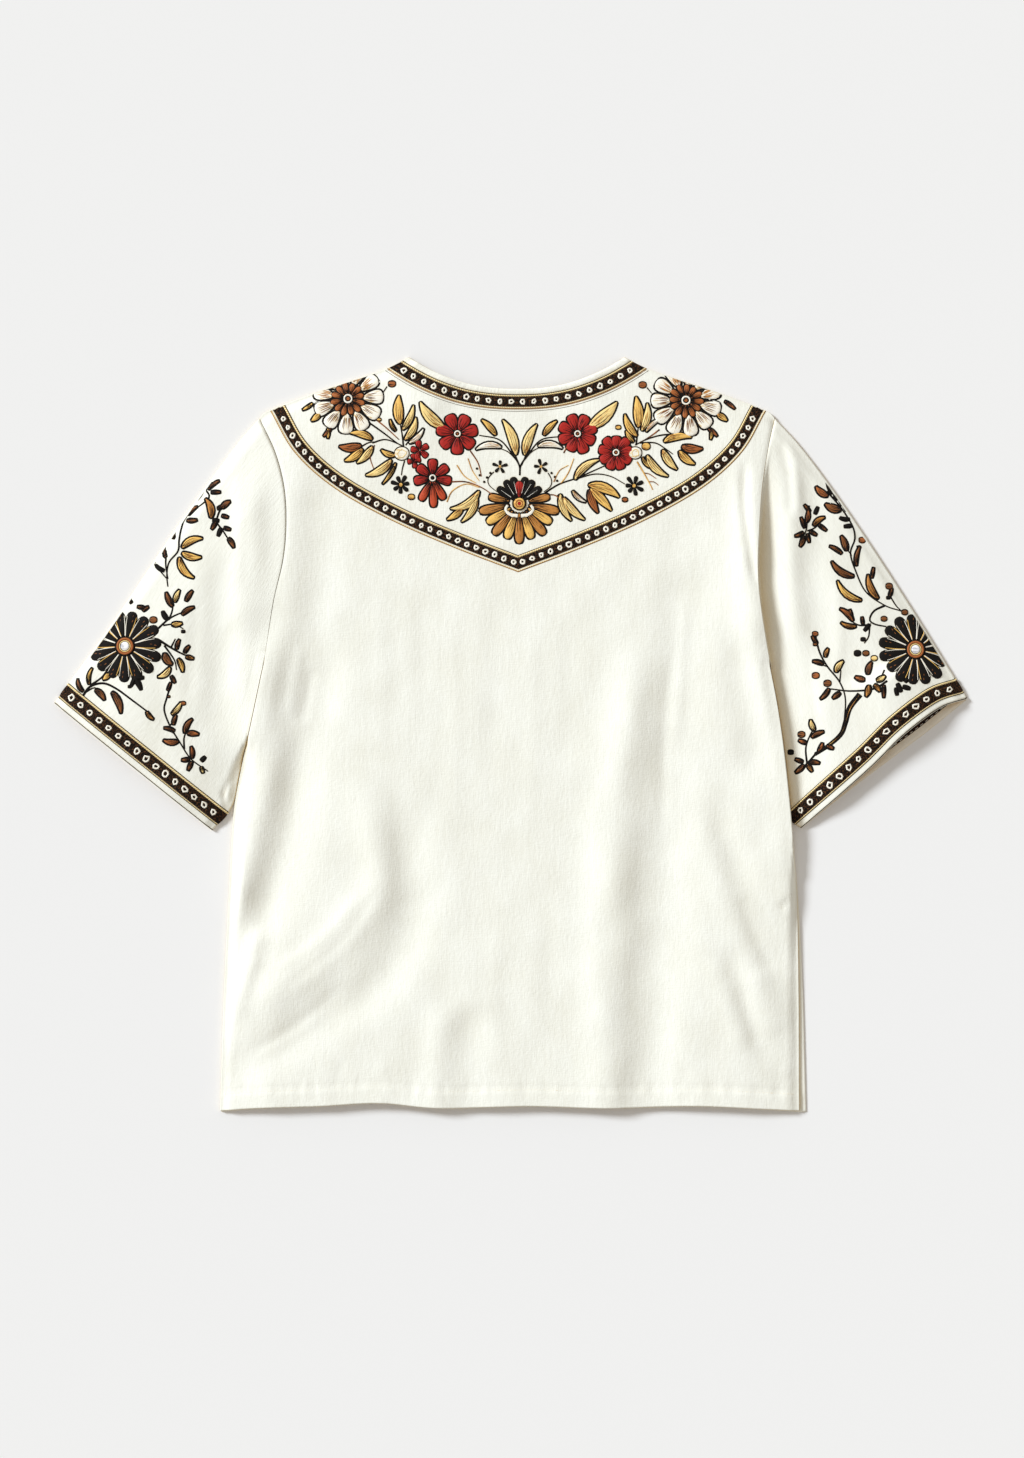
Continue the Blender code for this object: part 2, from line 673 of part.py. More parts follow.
def make_yoke_trim(material, back):
    """The V-shaped trim of the yoke, mitred at its point and cut off along the shoulder seams."""
    half = along(YOKE, 400)
    ahead = half[-1] - half[-2]
    half = spaced(np.vstack([half, half[-1] + ahead / np.linalg.norm(ahead) * YOKE_TRIM_WIDTH]), 400)
    normals = sideways(half)
    normals[0] = (0, 1 / normals[0][1])
    count = round(np.linalg.norm(np.diff(half, axis=0), axis=1).sum() / TRIM_STEP)
    rows = []
    for offset in (YOKE_TRIM_WIDTH / 2, 0, -YOKE_TRIM_WIDTH / 2):
        right = half + normals * offset
        right = spaced(right[right[:, 1] < shoulder_up(right[:, 0]) - TRIM_END], count)
        rows.append(np.vstack([(right * (-1, 1))[::-1][:-1], right]) + (YOKE_SHIFT, 0))
    return make_trim("yoke_trim", material, back, np.array(rows))


def make_cuff_trim(side, material, solid):
    """The trim round a cuff, over the upper half of the sleeve."""
    sleeve = SLEEVES[side]
    edge = shortened(along(sleeve.cuff_above, 400), TRIM_END + FOLD_RADIUS)
    normals = sideways(edge)
    inward = normals if side == "left" else -normals
    lean = np.linspace(0, 1, len(edge))[:, None]
    fold_way = np.subtract(sleeve.fold[-2], sleeve.fold[-1])
    under_way = np.subtract(sleeve.underarm[-3], sleeve.underarm[-1])
    way = (1 - lean) * fold_way / np.linalg.norm(fold_way) + lean * under_way / np.linalg.norm(under_way)
    way /= np.sum(way * inward, axis=1)[:, None]
    middle = (CUFF_TRIM_FROM + CUFF_TRIM_TO) / 2
    rows = np.array([edge + way * depth for depth in (CUFF_TRIM_TO, middle, CUFF_TRIM_FROM)])
    return make_trim(f"cuff_trim_{side}", material, solid, rows)


def cloth_material(name, colour, roughness):
    material = bpy.data.materials.new(name)
    material.use_nodes = True
    shader = material.node_tree.nodes["Principled BSDF"]
    shader.inputs["Base Color"].default_value = (*colour, 1)
    shader.inputs["Roughness"].default_value = roughness
    return material


def main():
    cloth = cloth_material("cream_cloth", CREAM, 0.85)
    band = cloth_material("cream_band", CREAM_BAND, 0.8)
    ribbon = cloth_material("black_ribbon", BLACK, 0.6)
    make_front(cloth)
    make_front_neckbands(band)
    back = make_back(cloth)
    make_back_neckband(band)
    make_neck_trim(ribbon, back)
    make_yoke_trim(ribbon, back)
    for side in SLEEVES:
        sleeve = make_sleeve(side, cloth)
        make_cuff_trim(side, ribbon, sleeve)


for old in list(bpy.data.objects):
    bpy.data.objects.remove(old)
GARMENT = bpy.data.collections.new("blouse")
bpy.context.scene.collection.children.link(GARMENT)
main()
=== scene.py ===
"""The looks of a blouse with elbow-length sleeves, laid flat with its back up.

Sizes are in metres. Places on the garment are (across, up), as in the part: across from the centre-back
line, positive to the right as the back is seen, and up from the hem. Every shell lies close to the
form of its solid, with finer creases added. Three places differ more: on the left the back runs on into the
sleeve below the armhole, on the right the back's edge is steeper and the sleeve dips under it, and the
right cuff is arched higher. Trims and embroidery follow the shells.
"""

import math
import random
from collections import namedtuple

import bpy
import numpy as np
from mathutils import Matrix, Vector, noise


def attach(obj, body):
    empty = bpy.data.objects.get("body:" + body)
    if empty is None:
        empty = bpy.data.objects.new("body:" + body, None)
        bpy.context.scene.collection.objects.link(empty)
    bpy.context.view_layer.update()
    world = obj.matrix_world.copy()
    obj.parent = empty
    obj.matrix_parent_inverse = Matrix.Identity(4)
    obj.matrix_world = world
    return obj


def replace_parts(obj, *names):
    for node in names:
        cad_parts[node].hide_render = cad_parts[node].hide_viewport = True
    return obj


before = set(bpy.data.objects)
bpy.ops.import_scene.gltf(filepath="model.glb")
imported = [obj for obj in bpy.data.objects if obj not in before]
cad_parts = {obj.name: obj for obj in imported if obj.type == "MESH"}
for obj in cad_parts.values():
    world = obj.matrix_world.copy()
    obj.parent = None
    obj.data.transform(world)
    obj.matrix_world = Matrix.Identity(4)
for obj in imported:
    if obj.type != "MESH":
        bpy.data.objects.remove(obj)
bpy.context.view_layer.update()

# The form of the cloth
CLOTH = 0.0015
SEAM_GAP = 0.0004
SEWN_TOP = 2 * CLOTH + 0.0004
FOLD_RADIUS = SEWN_TOP / 2
LOFT = 0.0070
EDGE_LOFT_SHARE = 0.42
EDGE_RUN = 0.0085
SLOW_RUN = 0.050
FOLDS_RUN = 0.011
HEM_LOFT = 0.72
HEM_RISE = 0.110
NECK_HALF_WIDTH = 0.097
BACK_NECK_UP = 0.649
NECK_POINT_UP = 0.678
NECK_ROUNDNESS = 2.3
V_NECK_UP = 0.490
NECKBAND_WIDTH = 0.0058
SHOULDER_WIDENING = 1.12
CENTRE_ACROSS = -0.005565
CENTRE_UP = 0.337915
FRONT_HEM_DROP = 0.0012

SHOULDER = [(0.097, 0.678), (0.122, 0.666), (0.176, 0.648), (0.2235, 0.630), (0.232, 0.623)]
ARMHOLE_LEFT = [
    (-0.2320, 0.623), (-0.2173, 0.592), (-0.2090, 0.560), (-0.2072, 0.527), (-0.2100, 0.495),
    (-0.2187, 0.457), (-0.2270, 0.405),
]
ARMHOLE_RIGHT = [
    (0.2320, 0.623), (0.2265, 0.600), (0.2200, 0.560), (0.2170, 0.520), (0.2160, 0.485), (0.2190, 0.450),
    (0.2275, 0.400),
]
SIDE_LEFT = [
    (-0.2270, 0.405), (-0.2400, 0.345), (-0.2500, 0.300), (-0.2560, 0.262), (-0.2595, 0.200),
    (-0.2640, 0.110), (-0.2675, 0.000),
]
SIDE_RIGHT = [
    (0.2275, 0.400), (0.2345, 0.364), (0.2405, 0.323), (0.2470, 0.262), (0.2520, 0.200), (0.2540, 0.110),
    (0.2545, 0.000),
]
FRONT_SHOWS = [(0.000, 0.0070), (0.110, 0.0045), (0.200, 0.0016), (0.262, 0.0)]
HEM = [
    (-0.268, -0.001), (-0.232, 0.0018), (-0.178, 0.0036), (-0.124, 0.0063), (-0.070, 0.0018),
    (0.010, 0.0036), (0.080, 0.0018), (0.160, 0.0036), (0.220, 0.0010), (0.255, -0.001),
]
YOKE = [
    (0.000, 0.4915), (0.055, 0.5125), (0.110, 0.5365), (0.160, 0.5645), (0.195, 0.5955), (0.2165, 0.6320),
]
Sleeve = namedtuple("Sleeve", "armhole fold underarm cuff_above cuff_below")
SLEEVES = {
    "left": Sleeve(
        ARMHOLE_LEFT,
        [(-0.2320, 0.623), (-0.2565, 0.594), (-0.3096, 0.520), (-0.3625, 0.441), (-0.4165, 0.366)],
        [(-0.2270, 0.405), (-0.2400, 0.345), (-0.2497, 0.302), (-0.2562, 0.2735), (-0.2745, 0.2515)],
        [(-0.4165, 0.366), (-0.3440, 0.3075), (-0.2745, 0.2515)],
        [(-0.4165, 0.366), (-0.3440, 0.3065), (-0.2745, 0.2515)],
    ),
    "right": Sleeve(
        ARMHOLE_RIGHT,
        [(0.2320, 0.623), (0.2580, 0.594), (0.2975, 0.540), (0.3520, 0.457), (0.4057, 0.370)],
        [(0.2275, 0.400), (0.2345, 0.364), (0.2405, 0.323), (0.2456, 0.276), (0.2479, 0.2600),
         (0.2560, 0.2535)],
        [(0.4057, 0.370), (0.3800, 0.3615), (0.3477, 0.338), (0.3160, 0.3065), (0.2560, 0.2535)],
        [(0.4057, 0.370), (0.3700, 0.341), (0.3414, 0.3195), (0.3050, 0.292), (0.2560, 0.2535)],
    ),
}

# The back's right edge stands up beside the sleeve, which is tucked in lower there
ROLL_RISE = 0.0050
ROLL_GROWTH = 0.45
ROLL_WIDTH = 0.020
ROLL_TIGHT = 0.96
ROLL_FADE = 0.26
ROLL_LOW_FADE = 0.40
TUCK = 0.88
TUCK_RUN = 0.0125
TUCK_LIP = 0.0016
TUCK_WIDENING = 1.8

# Folds: those of the part, some of them deeper. Half width, height, and the places they run through
Fold = namedtuple("Fold", "name half_width height path")
FOLDS = [
    Fold("neck_dip", 0.058, -0.0026, [(-0.070, 0.662), (0.000, 0.640), (0.070, 0.662)]),
    Fold("left_blade", 0.014, 0.0012, [(-0.200, 0.590), (-0.204, 0.500), (-0.214, 0.400)]),
    Fold("left_blade_trough", 0.014, -0.0012, [(-0.168, 0.590), (-0.174, 0.500), (-0.184, 0.400)]),
    Fold("left_side", 0.015, 0.0036,
         [(-0.214, 0.450), (-0.226, 0.360), (-0.235, 0.290), (-0.250, 0.210), (-0.262, 0.150)]),
    Fold("left_side_trough", 0.018, -0.0040,
         [(-0.168, 0.450), (-0.182, 0.360), (-0.192, 0.290), (-0.212, 0.210), (-0.236, 0.130)]),
    Fold("left_hip", 0.009, 0.0022, [(-0.228, 0.170), (-0.244, 0.120), (-0.256, 0.075)]),
    Fold("left_sweep", 0.017, 0.0030,
         [(-0.144, 0.320), (-0.132, 0.260), (-0.124, 0.204), (-0.160, 0.150), (-0.212, 0.112),
          (-0.266, 0.075)]),
    Fold("left_sweep_trough", 0.017, -0.0034,
         [(-0.108, 0.290), (-0.096, 0.235), (-0.092, 0.175), (-0.128, 0.112), (-0.190, 0.072),
          (-0.256, 0.036), (-0.310, 0.006)]),
    Fold("centre_hem", 0.013, 0.0016, [(-0.068, 0.100), (-0.070, 0.040), (-0.072, -0.030)]),
    Fold("centre_hem_trough", 0.013, -0.0022, [(-0.040, 0.100), (-0.043, 0.040), (-0.046, -0.030)]),
    Fold("right_run", 0.020, 0.0036,
         [(0.110, 0.450), (0.099, 0.350), (0.088, 0.230), (0.082, 0.100), (0.080, -0.080)]),
    Fold("right_run_start", 0.018, -0.0016, [(0.154, 0.500), (0.148, 0.420), (0.138, 0.300)]),
    Fold("right_run_trough", 0.022, -0.0050,
         [(0.140, 0.350), (0.134, 0.250), (0.128, 0.160), (0.123, 0.080), (0.118, -0.080)]),
    Fold("right_edge", 0.012, 0.0020, [(0.207, 0.620), (0.205, 0.500), (0.216, 0.390), (0.232, 0.290)]),
    Fold("right_chest", 0.024, 0.0016, [(0.186, 0.540), (0.192, 0.420), (0.196, 0.300)]),
    Fold("right_sweep", 0.012, 0.0010, [(0.158, 0.270), (0.174, 0.230), (0.190, 0.182), (0.206, 0.142)]),
    Fold("right_sweep_trough", 0.012, -0.0019,
         [(0.172, 0.285), (0.190, 0.240), (0.207, 0.190), (0.223, 0.150), (0.244, 0.112)]),
    Fold("right_bulge", 0.018, 0.0016, [(0.212, 0.320), (0.226, 0.250), (0.240, 0.165)]),
    Fold("right_hip", 0.010, 0.0010, [(0.172, 0.140), (0.184, 0.112), (0.194, 0.082), (0.206, 0.050)]),
    Fold("right_hip_trough", 0.010, -0.0015,
         [(0.186, 0.150), (0.198, 0.125), (0.208, 0.092), (0.219, 0.060), (0.232, 0.036)]),
    Fold("right_hip_bulge", 0.012, 0.0012, [(0.214, 0.130), (0.226, 0.096), (0.238, 0.066)]),
    Fold("left_sleeve_crest", 0.014, 0.0020, [(-0.240, 0.590), (-0.240, 0.480), (-0.250, 0.350)]),
    Fold("left_sleeve_trough", 0.014, -0.0022, [(-0.264, 0.560), (-0.266, 0.450), (-0.272, 0.330)]),
    Fold("left_cuff_arch", 0.040, 0.0012, [(-0.320, 0.380), (-0.345, 0.330), (-0.362, 0.300)]),
    Fold("right_sleeve_trough", 0.012, -0.0017,
         [(0.262, 0.590), (0.268, 0.540), (0.270, 0.470), (0.276, 0.390)]),
    Fold("right_sleeve_crest", 0.010, 0.0014,
         [(0.247, 0.600), (0.246, 0.545), (0.246, 0.480), (0.254, 0.400)]),
    Fold("right_cuff_arch", 0.034, 0.0058, [(0.330, 0.405), (0.348, 0.362), (0.372, 0.318)]),
]
# Finer creases, which only the shells have
CREASES = [
    Fold("side_low_crest", 0.011, 0.0017,
         [(-0.210, 0.370), (-0.222, 0.300), (-0.234, 0.240), (-0.254, 0.165)]),
    Fold("side_low_trough", 0.011, -0.0017,
         [(-0.190, 0.360), (-0.202, 0.290), (-0.213, 0.230), (-0.234, 0.150)]),
    Fold("sweep_line_1", 0.0050, -0.0008, [(-0.120, 0.205), (-0.160, 0.150), (-0.215, 0.105)]),
    Fold("sweep_line_2", 0.0045, 0.0007, [(-0.138, 0.200), (-0.172, 0.158), (-0.222, 0.122)]),
    Fold("sweep_line_3", 0.0050, -0.0006, [(-0.150, 0.118), (-0.196, 0.078), (-0.246, 0.048)]),
    Fold("sweep_line_4", 0.0040, 0.0005, [(-0.172, 0.090), (-0.205, 0.064), (-0.240, 0.044)]),
    Fold("side_line_1", 0.0050, 0.0008, [(-0.194, 0.420), (-0.198, 0.395), (-0.206, 0.350)]),
    Fold("side_line_2", 0.0050, -0.0009, [(-0.184, 0.400), (-0.188, 0.375), (-0.195, 0.345)]),
    Fold("side_line_3", 0.0045, 0.0007, [(-0.232, 0.140), (-0.241, 0.120), (-0.247, 0.098)]),
    Fold("middle_streak_1", 0.0084, 0.00035, [(-0.126, 0.470), (-0.122, 0.380), (-0.126, 0.300)]),
    Fold("middle_streak_2", 0.0091, -0.00042, [(-0.088, 0.480), (-0.084, 0.400), (-0.086, 0.330)]),
    Fold("middle_streak_3", 0.0078, 0.00035, [(-0.060, 0.450), (-0.056, 0.360), (-0.058, 0.260)]),
    Fold("middle_streak_4", 0.0091, -0.00035, [(-0.022, 0.470), (-0.020, 0.380), (-0.024, 0.290)]),
    Fold("middle_streak_5", 0.0078, 0.00035, [(0.012, 0.450), (0.014, 0.340), (0.010, 0.240)]),
    Fold("middle_streak_6", 0.0091, -0.00035, [(0.044, 0.460), (0.046, 0.370), (0.044, 0.300)]),
    Fold("middle_streak_7", 0.0084, 0.00042, [(0.072, 0.300), (0.070, 0.200), (0.066, 0.090)]),
    Fold("middle_streak_8", 0.0084, -0.00035, [(0.030, 0.190), (0.028, 0.110), (0.030, 0.040)]),
    Fold("middle_streak_9", 0.0078, 0.00028, [(-0.018, 0.170), (-0.020, 0.100), (-0.016, 0.030)]),
    Fold("run_line_1", 0.0050, 0.0006, [(0.152, 0.470), (0.148, 0.400), (0.142, 0.320)]),
    Fold("run_line_2", 0.0055, -0.0007, [(0.140, 0.420), (0.132, 0.340), (0.130, 0.240)]),
    Fold("right_line_1", 0.0060, -0.0008, [(0.200, 0.196), (0.212, 0.160), (0.232, 0.120)]),
    Fold("right_line_2", 0.0060, -0.0007, [(0.200, 0.112), (0.209, 0.080), (0.219, 0.055)]),
    Fold("right_line_3", 0.0028, -0.0010, [(0.2430, 0.0265), (0.2475, 0.0300), (0.2520, 0.0335)]),
    Fold("right_line_4", 0.0030, -0.0013, [(0.2345, 0.1815), (0.2410, 0.1845), (0.2455, 0.1920)]),
    Fold("hem_tuck_1", 0.0050, -0.0006, [(-0.156, 0.050), (-0.160, 0.030), (-0.162, 0.000)]),
    Fold("hem_tuck_2", 0.0050, 0.0005, [(-0.120, 0.046), (-0.122, 0.026), (-0.121, 0.000)]),
    Fold("hem_tuck_3", 0.0045, -0.0005, [(0.150, 0.044), (0.152, 0.024), (0.150, 0.000)]),
    Fold("hem_tuck_4", 0.0040, 0.0005, [(0.238, 0.040), (0.246, 0.028), (0.252, 0.020)]),
    Fold("cuff_tuck", 0.0024, -0.0024,
         [(-0.2515, 0.304), (-0.2600, 0.292), (-0.2640, 0.282), (-0.2590, 0.270)]),
    Fold("cuff_tuck_crest", 0.0040, 0.0022, [(-0.2500, 0.300), (-0.2568, 0.289), (-0.2580, 0.274)]),
    Fold("left_sleeve_line_1", 0.0060, 0.0007, [(-0.252, 0.575), (-0.250, 0.520), (-0.253, 0.460)]),
    Fold("left_sleeve_line_2", 0.0060, -0.0006, [(-0.286, 0.470), (-0.292, 0.410), (-0.296, 0.360)]),
    Fold("left_sleeve_line_3", 0.0070, -0.0005, [(-0.322, 0.410), (-0.318, 0.370), (-0.312, 0.338)]),
    Fold("head_pleat_1", 0.0045, -0.0012, [(0.236, 0.606), (0.2435, 0.575), (0.2455, 0.530)]),
    Fold("head_pleat_2", 0.0040, 0.0009, [(0.240, 0.608), (0.2500, 0.580), (0.2545, 0.530)]),
    Fold("armhole_line", 0.0042, -0.0024,
         [(0.2050, 0.590), (0.2044, 0.545), (0.2090, 0.505), (0.2150, 0.465)]),
    Fold("right_sleeve_line_2", 0.0060, 0.0006, [(0.286, 0.480), (0.290, 0.430), (0.286, 0.380)]),
    Fold("right_sleeve_line_3", 0.0050, -0.0006, [(0.262, 0.420), (0.268, 0.360), (0.276, 0.310)]),
    Fold("right_cuff_tuck", 0.0045, 0.0009, [(0.2560, 0.292), (0.2600, 0.276), (0.2650, 0.262)]),
]
FOLD_SAMPLES = 16
FADE = 0.20
REACH = 3.0

# Fine form of the shells
SHELL = 0.0009
UNEVEN = (1 / 0.045, 1 / 0.060, 0.55)
STREAK = (1 / 0.014, 1 / 0.060, 0.00008)
CRUMPLE = (1 / 0.026, 1 / 0.036, 0.00050)
HEM_DEPTH = 0.0160
HEM_STEP = 0.00050
HEM_GROOVE = 0.00060
PUCKER = (1 / 0.0070, 1 / 0.020, 0.00080)
HEM_STEP_RUN, HEM_STEP_SHIFT = 0.0016, 0.0004
HEM_GROOVE_WIDTH = 0.0016
PUCKER_REACH = 0.007
NECK_SEAM_DIP, NECK_SEAM_WIDTH = 0.0003, 0.0010
SEAM_DIP = 0.00075
SEAM_SOFT = 0.0016
LEFT_SEAM_SHARE, LEFT_SEAM_FROM, LEFT_SEAM_RISE = 0.5, 0.452, 0.05
GRID = 0.0012


def srgb(red, green, blue):
    """A colour from its values on a screen, from 0 to 255."""
    return tuple(
        v / 255 / 12.92 if v <= 10 else ((v / 255 + 0.055) / 1.055) ** 2.4 for v in (red, green, blue)
    )


def run_along(line):
    """How far along a line each of its points is."""
    return np.concatenate([[0], np.cumsum(np.linalg.norm(np.diff(line, axis=0), axis=1))])


def spaced(line, count):
    """count + 1 points, evenly spaced along a line."""
    run = run_along(line)
    at = np.linspace(0, run[-1], count + 1)
    return np.stack([np.interp(at, run, line[:, k]) for k in range(line.shape[1])], axis=1)


def along(points, count):
    """count + 1 points, evenly spaced on a smooth curve through these."""
    p = np.array(points, float)
    p = np.vstack([2 * p[0] - p[1], p, 2 * p[-1] - p[-2]])
    t = np.linspace(0, 1, 40)[:, None]
    fine = []
    for a, b, c, d in zip(p[:-3], p[1:-2], p[2:-1], p[3:]):
        fine.append(
            0.5 * (2 * b + (c - a) * t + (2 * a - 5 * b + 4 * c - d) * t**2 + (3 * b - a - 3 * c + d) * t**3)
        )
    return spaced(np.vstack(fine), count)


def sideways(line):
    """The unit normals of a line, to the left of its direction."""
    ahead = np.gradient(line, axis=0)
    ahead /= np.maximum(np.linalg.norm(ahead, axis=1), 1e-9)[:, None]
    return np.stack([-ahead[:, 1], ahead[:, 0]], axis=1)


def length_of(line):
    return np.linalg.norm(np.diff(line, axis=0), axis=1).sum()


def mirrored(points):
    return [(-across, up) for across, up in points]


def shoulder_up(across):
    """The height of the shoulder seam above the hem."""
    return np.interp(np.abs(across), SHOULDER_LINE[:, 0], SHOULDER_LINE[:, 1])


SHOULDER_LINE = along(SHOULDER, 120)


def neck_line(depth, count):
    """The back neck's curve, that far inwards from its edge, from the left shoulder to the right."""
    half = NECK_HALF_WIDTH + depth * SHOULDER_WIDENING
    low = BACK_NECK_UP - depth
    rise = shoulder_up(half) - low
    across = half * np.sin(np.linspace(-0.5, 0.5, 200) * math.pi)
    up = low + rise * np.abs(across / half) ** NECK_ROUNDNESS
    return spaced(np.stack([across, up], axis=1), count)


def distance(points, line):
    """How far each point is from a line, and its nearest place along the line, from 0 to 1."""
    best = np.full(len(points), np.inf)
    share = np.zeros(len(points))
    run = len(line) - 1
    for i in range(run):
        a, step = line[i], line[i + 1] - line[i]
        t = np.clip((points - a) @ step / (step @ step), 0, 1)
        away = np.linalg.norm(points - a - t[:, None] * step, axis=1)
        nearer = away < best
        best = np.where(nearer, away, best)
        share = np.where(nearer, (i + t) / run, share)
    return best, share


def eased(t):
    t = np.clip(t, 0, 1)
    return t * t * (3 - 2 * t)


def hump(away, width):
    """1 on a line, and near 0 at twice this width from it."""
    return np.exp(-((away / width) ** 2))


def faded(share, start, end):
    """1 along the middle of a line, and 0 at its ends, eased over these shares of it."""
    return eased(share / start) * eased((1 - share) / end)


def nearest(points, lines):
    return np.min([distance(points, line)[0] for line in lines], axis=0)


TOP_EDGES = [
    np.vstack([along(mirrored(SHOULDER), 20), along(SLEEVES["left"].fold, 30)]),
    np.vstack([along(SHOULDER, 20), along(SLEEVES["right"].fold, 30)]),
]
SIDE_EDGES = [along(SIDE_LEFT, 40), along(SIDE_RIGHT, 40)]
UNDER_EDGES = [along(SLEEVES[side].underarm, 30) for side in ("left", "right")]
LEFT_JOIN = along([*ARMHOLE_LEFT[-2:], *SIDE_LEFT[1:3]], 20)
LEFT_JOIN_WIDTH = 0.033
JOIN_START, JOIN_END = 0.33, 0.26
STEEP_SIDE = along(SIDE_RIGHT, 40)
STEEP_FROM, STEEP_RISE = 0.130, 0.130
ROLL_LINE = along([*ARMHOLE_RIGHT, *SIDE_RIGHT[1:6]], 44)
ROLL_SEAM_SHARE = length_of(along(ARMHOLE_RIGHT, 24)) / length_of(ROLL_LINE)
ARMHOLES = [along(ARMHOLE_LEFT, 24), along(ARMHOLE_RIGHT, 24)]
NECK_SEAM = neck_line(NECKBAND_WIDTH, 40)
HEM_LINE = along(HEM, 60)


def raised(points, folds):
    """What these folds add at each place."""
    total = np.zeros(len(points))
    for fold in folds:
        line = along(fold.path, FOLD_SAMPLES)
        margin = REACH * fold.half_width
        low, high = line.min(0) - margin, line.max(0) + margin
        near = np.all((points > low) & (points < high), axis=1)
        if near.any():
            away, share = distance(points[near], line)
            total[near] += fold.height * hump(away, fold.half_width) * faded(share, FADE, FADE)
    return total


def rippled(points, ripple, seed):
    """Smooth noise with a length each way and a height."""
    across, up, height = ripple
    return height * np.array([noise.noise((x * across, y * up, seed)) for x, y in points])


def left_join(points):
    """How far the left sleeve and the body run on into each other here, 0 to 1."""
    away, share = distance(points, LEFT_JOIN)
    return hump(away, LEFT_JOIN_WIDTH) * eased(share / JOIN_START) * eased((1 - share) / JOIN_END)


def relief(points, body):
    """The top of the back's cloth, or of the sleeves' where body is false."""
    edges = SIDE_EDGES if body else UNDER_EDGES
    from_top = nearest(points, TOP_EDGES) - FOLD_RADIUS
    away, share = distance(points, ROLL_LINE)
    rolling = faded(share, ROLL_FADE, ROLL_LOW_FADE)
    bulge = rolling * hump(away, ROLL_WIDTH)
    tight = bulge if body else np.zeros(len(points))
    joined = left_join(points)
    tight = np.maximum(tight, joined)
    if body:
        steepness = eased((points[:, 1] - STEEP_FROM) / STEEP_RISE)
        tight = np.maximum(tight, steepness * hump(distance(points, STEEP_SIDE)[0], ROLL_WIDTH))
    from_side = nearest(points, edges) - FOLD_RADIUS * (1 - tight)
    run = EDGE_RUN * (1 - ROLL_TIGHT * tight)
    steep = eased(from_top / EDGE_RUN) * eased(from_side / run)
    slow = eased(from_side / SLOW_RUN)
    slow = eased(from_top / SLOW_RUN) * (slow + (1 - slow) * joined)
    total = LOFT * (EDGE_LOFT_SHARE * steep + (1 - EDGE_LOFT_SHARE) * slow)
    inside = eased(from_top / FOLDS_RUN) * np.maximum(eased(from_side / FOLDS_RUN), joined)
    fine = raised(points, CREASES) + rippled(points, STREAK, 3.7) + rippled(points, CRUMPLE, 9.1)
    folds = raised(points, FOLDS) * (1 + rippled(points, UNEVEN, 1.9)) * inside
    total = total * np.exp(np.minimum(folds, 0) / np.maximum(total, 1e-6)) + np.maximum(folds, 0)
    total += fine * inside
    if body:
        total += ROLL_RISE * (1 + ROLL_GROWTH * share) * bulge * steep
    else:
        lip = eased(away / TUCK_LIP)
        total *= 1 - TUCK * rolling * hump(away, TUCK_RUN * (1 + TUCK_WIDENING * share))
    total *= HEM_LOFT + (1 - HEM_LOFT) * eased(points[:, 1] / HEM_RISE)
    groove = SEAM_DIP * hump(nearest(points, ARMHOLES), SEAM_SOFT)
    left_seen = LEFT_SEAM_SHARE * eased((points[:, 1] - LEFT_SEAM_FROM) / LEFT_SEAM_RISE)
    seen = np.where(points[:, 0] > 0, 1 - rolling, left_seen)
    total -= groove * seen * (from_top > 0)
    if body:
        from_row = points[:, 1] - np.interp(points[:, 0], HEM_LINE[:, 0], HEM_LINE[:, 1]) - HEM_DEPTH
        total += HEM_STEP * (1 - eased((from_row + HEM_STEP_SHIFT) / HEM_STEP_RUN))
        total += rippled(points, PUCKER, 5.3) * hump(from_row, PUCKER_REACH) * inside
        total -= HEM_GROOVE * hump(from_row, HEM_GROOVE_WIDTH) * inside
        total -= NECK_SEAM_DIP * hump(nearest(points, [NECK_SEAM]), NECK_SEAM_WIDTH)
    else:
        near = (away < TUCK_LIP) & (share < ROLL_SEAM_SHARE)
        if near.any():
            body_top = relief(points[near], True) - SEWN_TOP
            total[near] = total[near] * lip[near] + body_top * (1 - lip[near])
    return SEWN_TOP + total


class Ground:
    """The cloth's top as a fine grid of heights, for laying things on it quickly."""

    def __init__(self, body, low, high):
        self.low = np.array(low)
        self.count = np.ceil((np.array(high) - low) / GRID).astype(int) + 1
        xs = low[0] + GRID * np.arange(self.count[0])
        ys = low[1] + GRID * np.arange(self.count[1])
        places = np.stack(np.meshgrid(xs, ys), axis=2).reshape(-1, 2)
        self.heights = relief(places, body).reshape(len(ys), len(xs))

    def at(self, points):
        place = (points - self.low) / GRID
        cell = np.clip(np.floor(place).astype(int), 0, self.count - 2)
        u, v = (place - cell).T
        i, j = cell.T
        h = self.heights
        lower = h[j, i] * (1 - u) + h[j, i + 1] * u
        upper = h[j + 1, i] * (1 - u) + h[j + 1, i + 1] * u
        return lower * (1 - v) + upper * v


def between(top, bottom, left, right, u, v):
    """A grid of points that fills the four edges: rows run from top to bottom."""
    u, v = u[None, :, None], v[:, None, None]
    across = (1 - u) * left[:, None] + u * right[:, None]
    down = (1 - v) * top[None] + v * bottom[None]
    corners = (
        (1 - u) * (1 - v) * top[0]
        + u * (1 - v) * top[-1]
        + (1 - u) * v * bottom[0]
        + u * v * bottom[-1]
    )
    return across + down - corners


EDGE_SHARES = (0.10, 0.30, 0.60)


def refined(line):
    """The line with extra points near both of its ends, and each point's share of the line."""
    count = len(line) - 1
    near = np.array(EDGE_SHARES)
    at = np.concatenate([[0], near, np.arange(1, count), count - near[::-1], [count]])
    points = np.stack([np.interp(at, np.arange(count + 1), line[:, k]) for k in range(2)], axis=1)
    return points, at / count


def patch(top, bottom, left, right):
    """A grid between four edges, closer spaced near them."""
    top, u = refined(top)
    left, v = refined(left)
    return between(top, refined(bottom)[0], left, refined(right)[0], u, v)


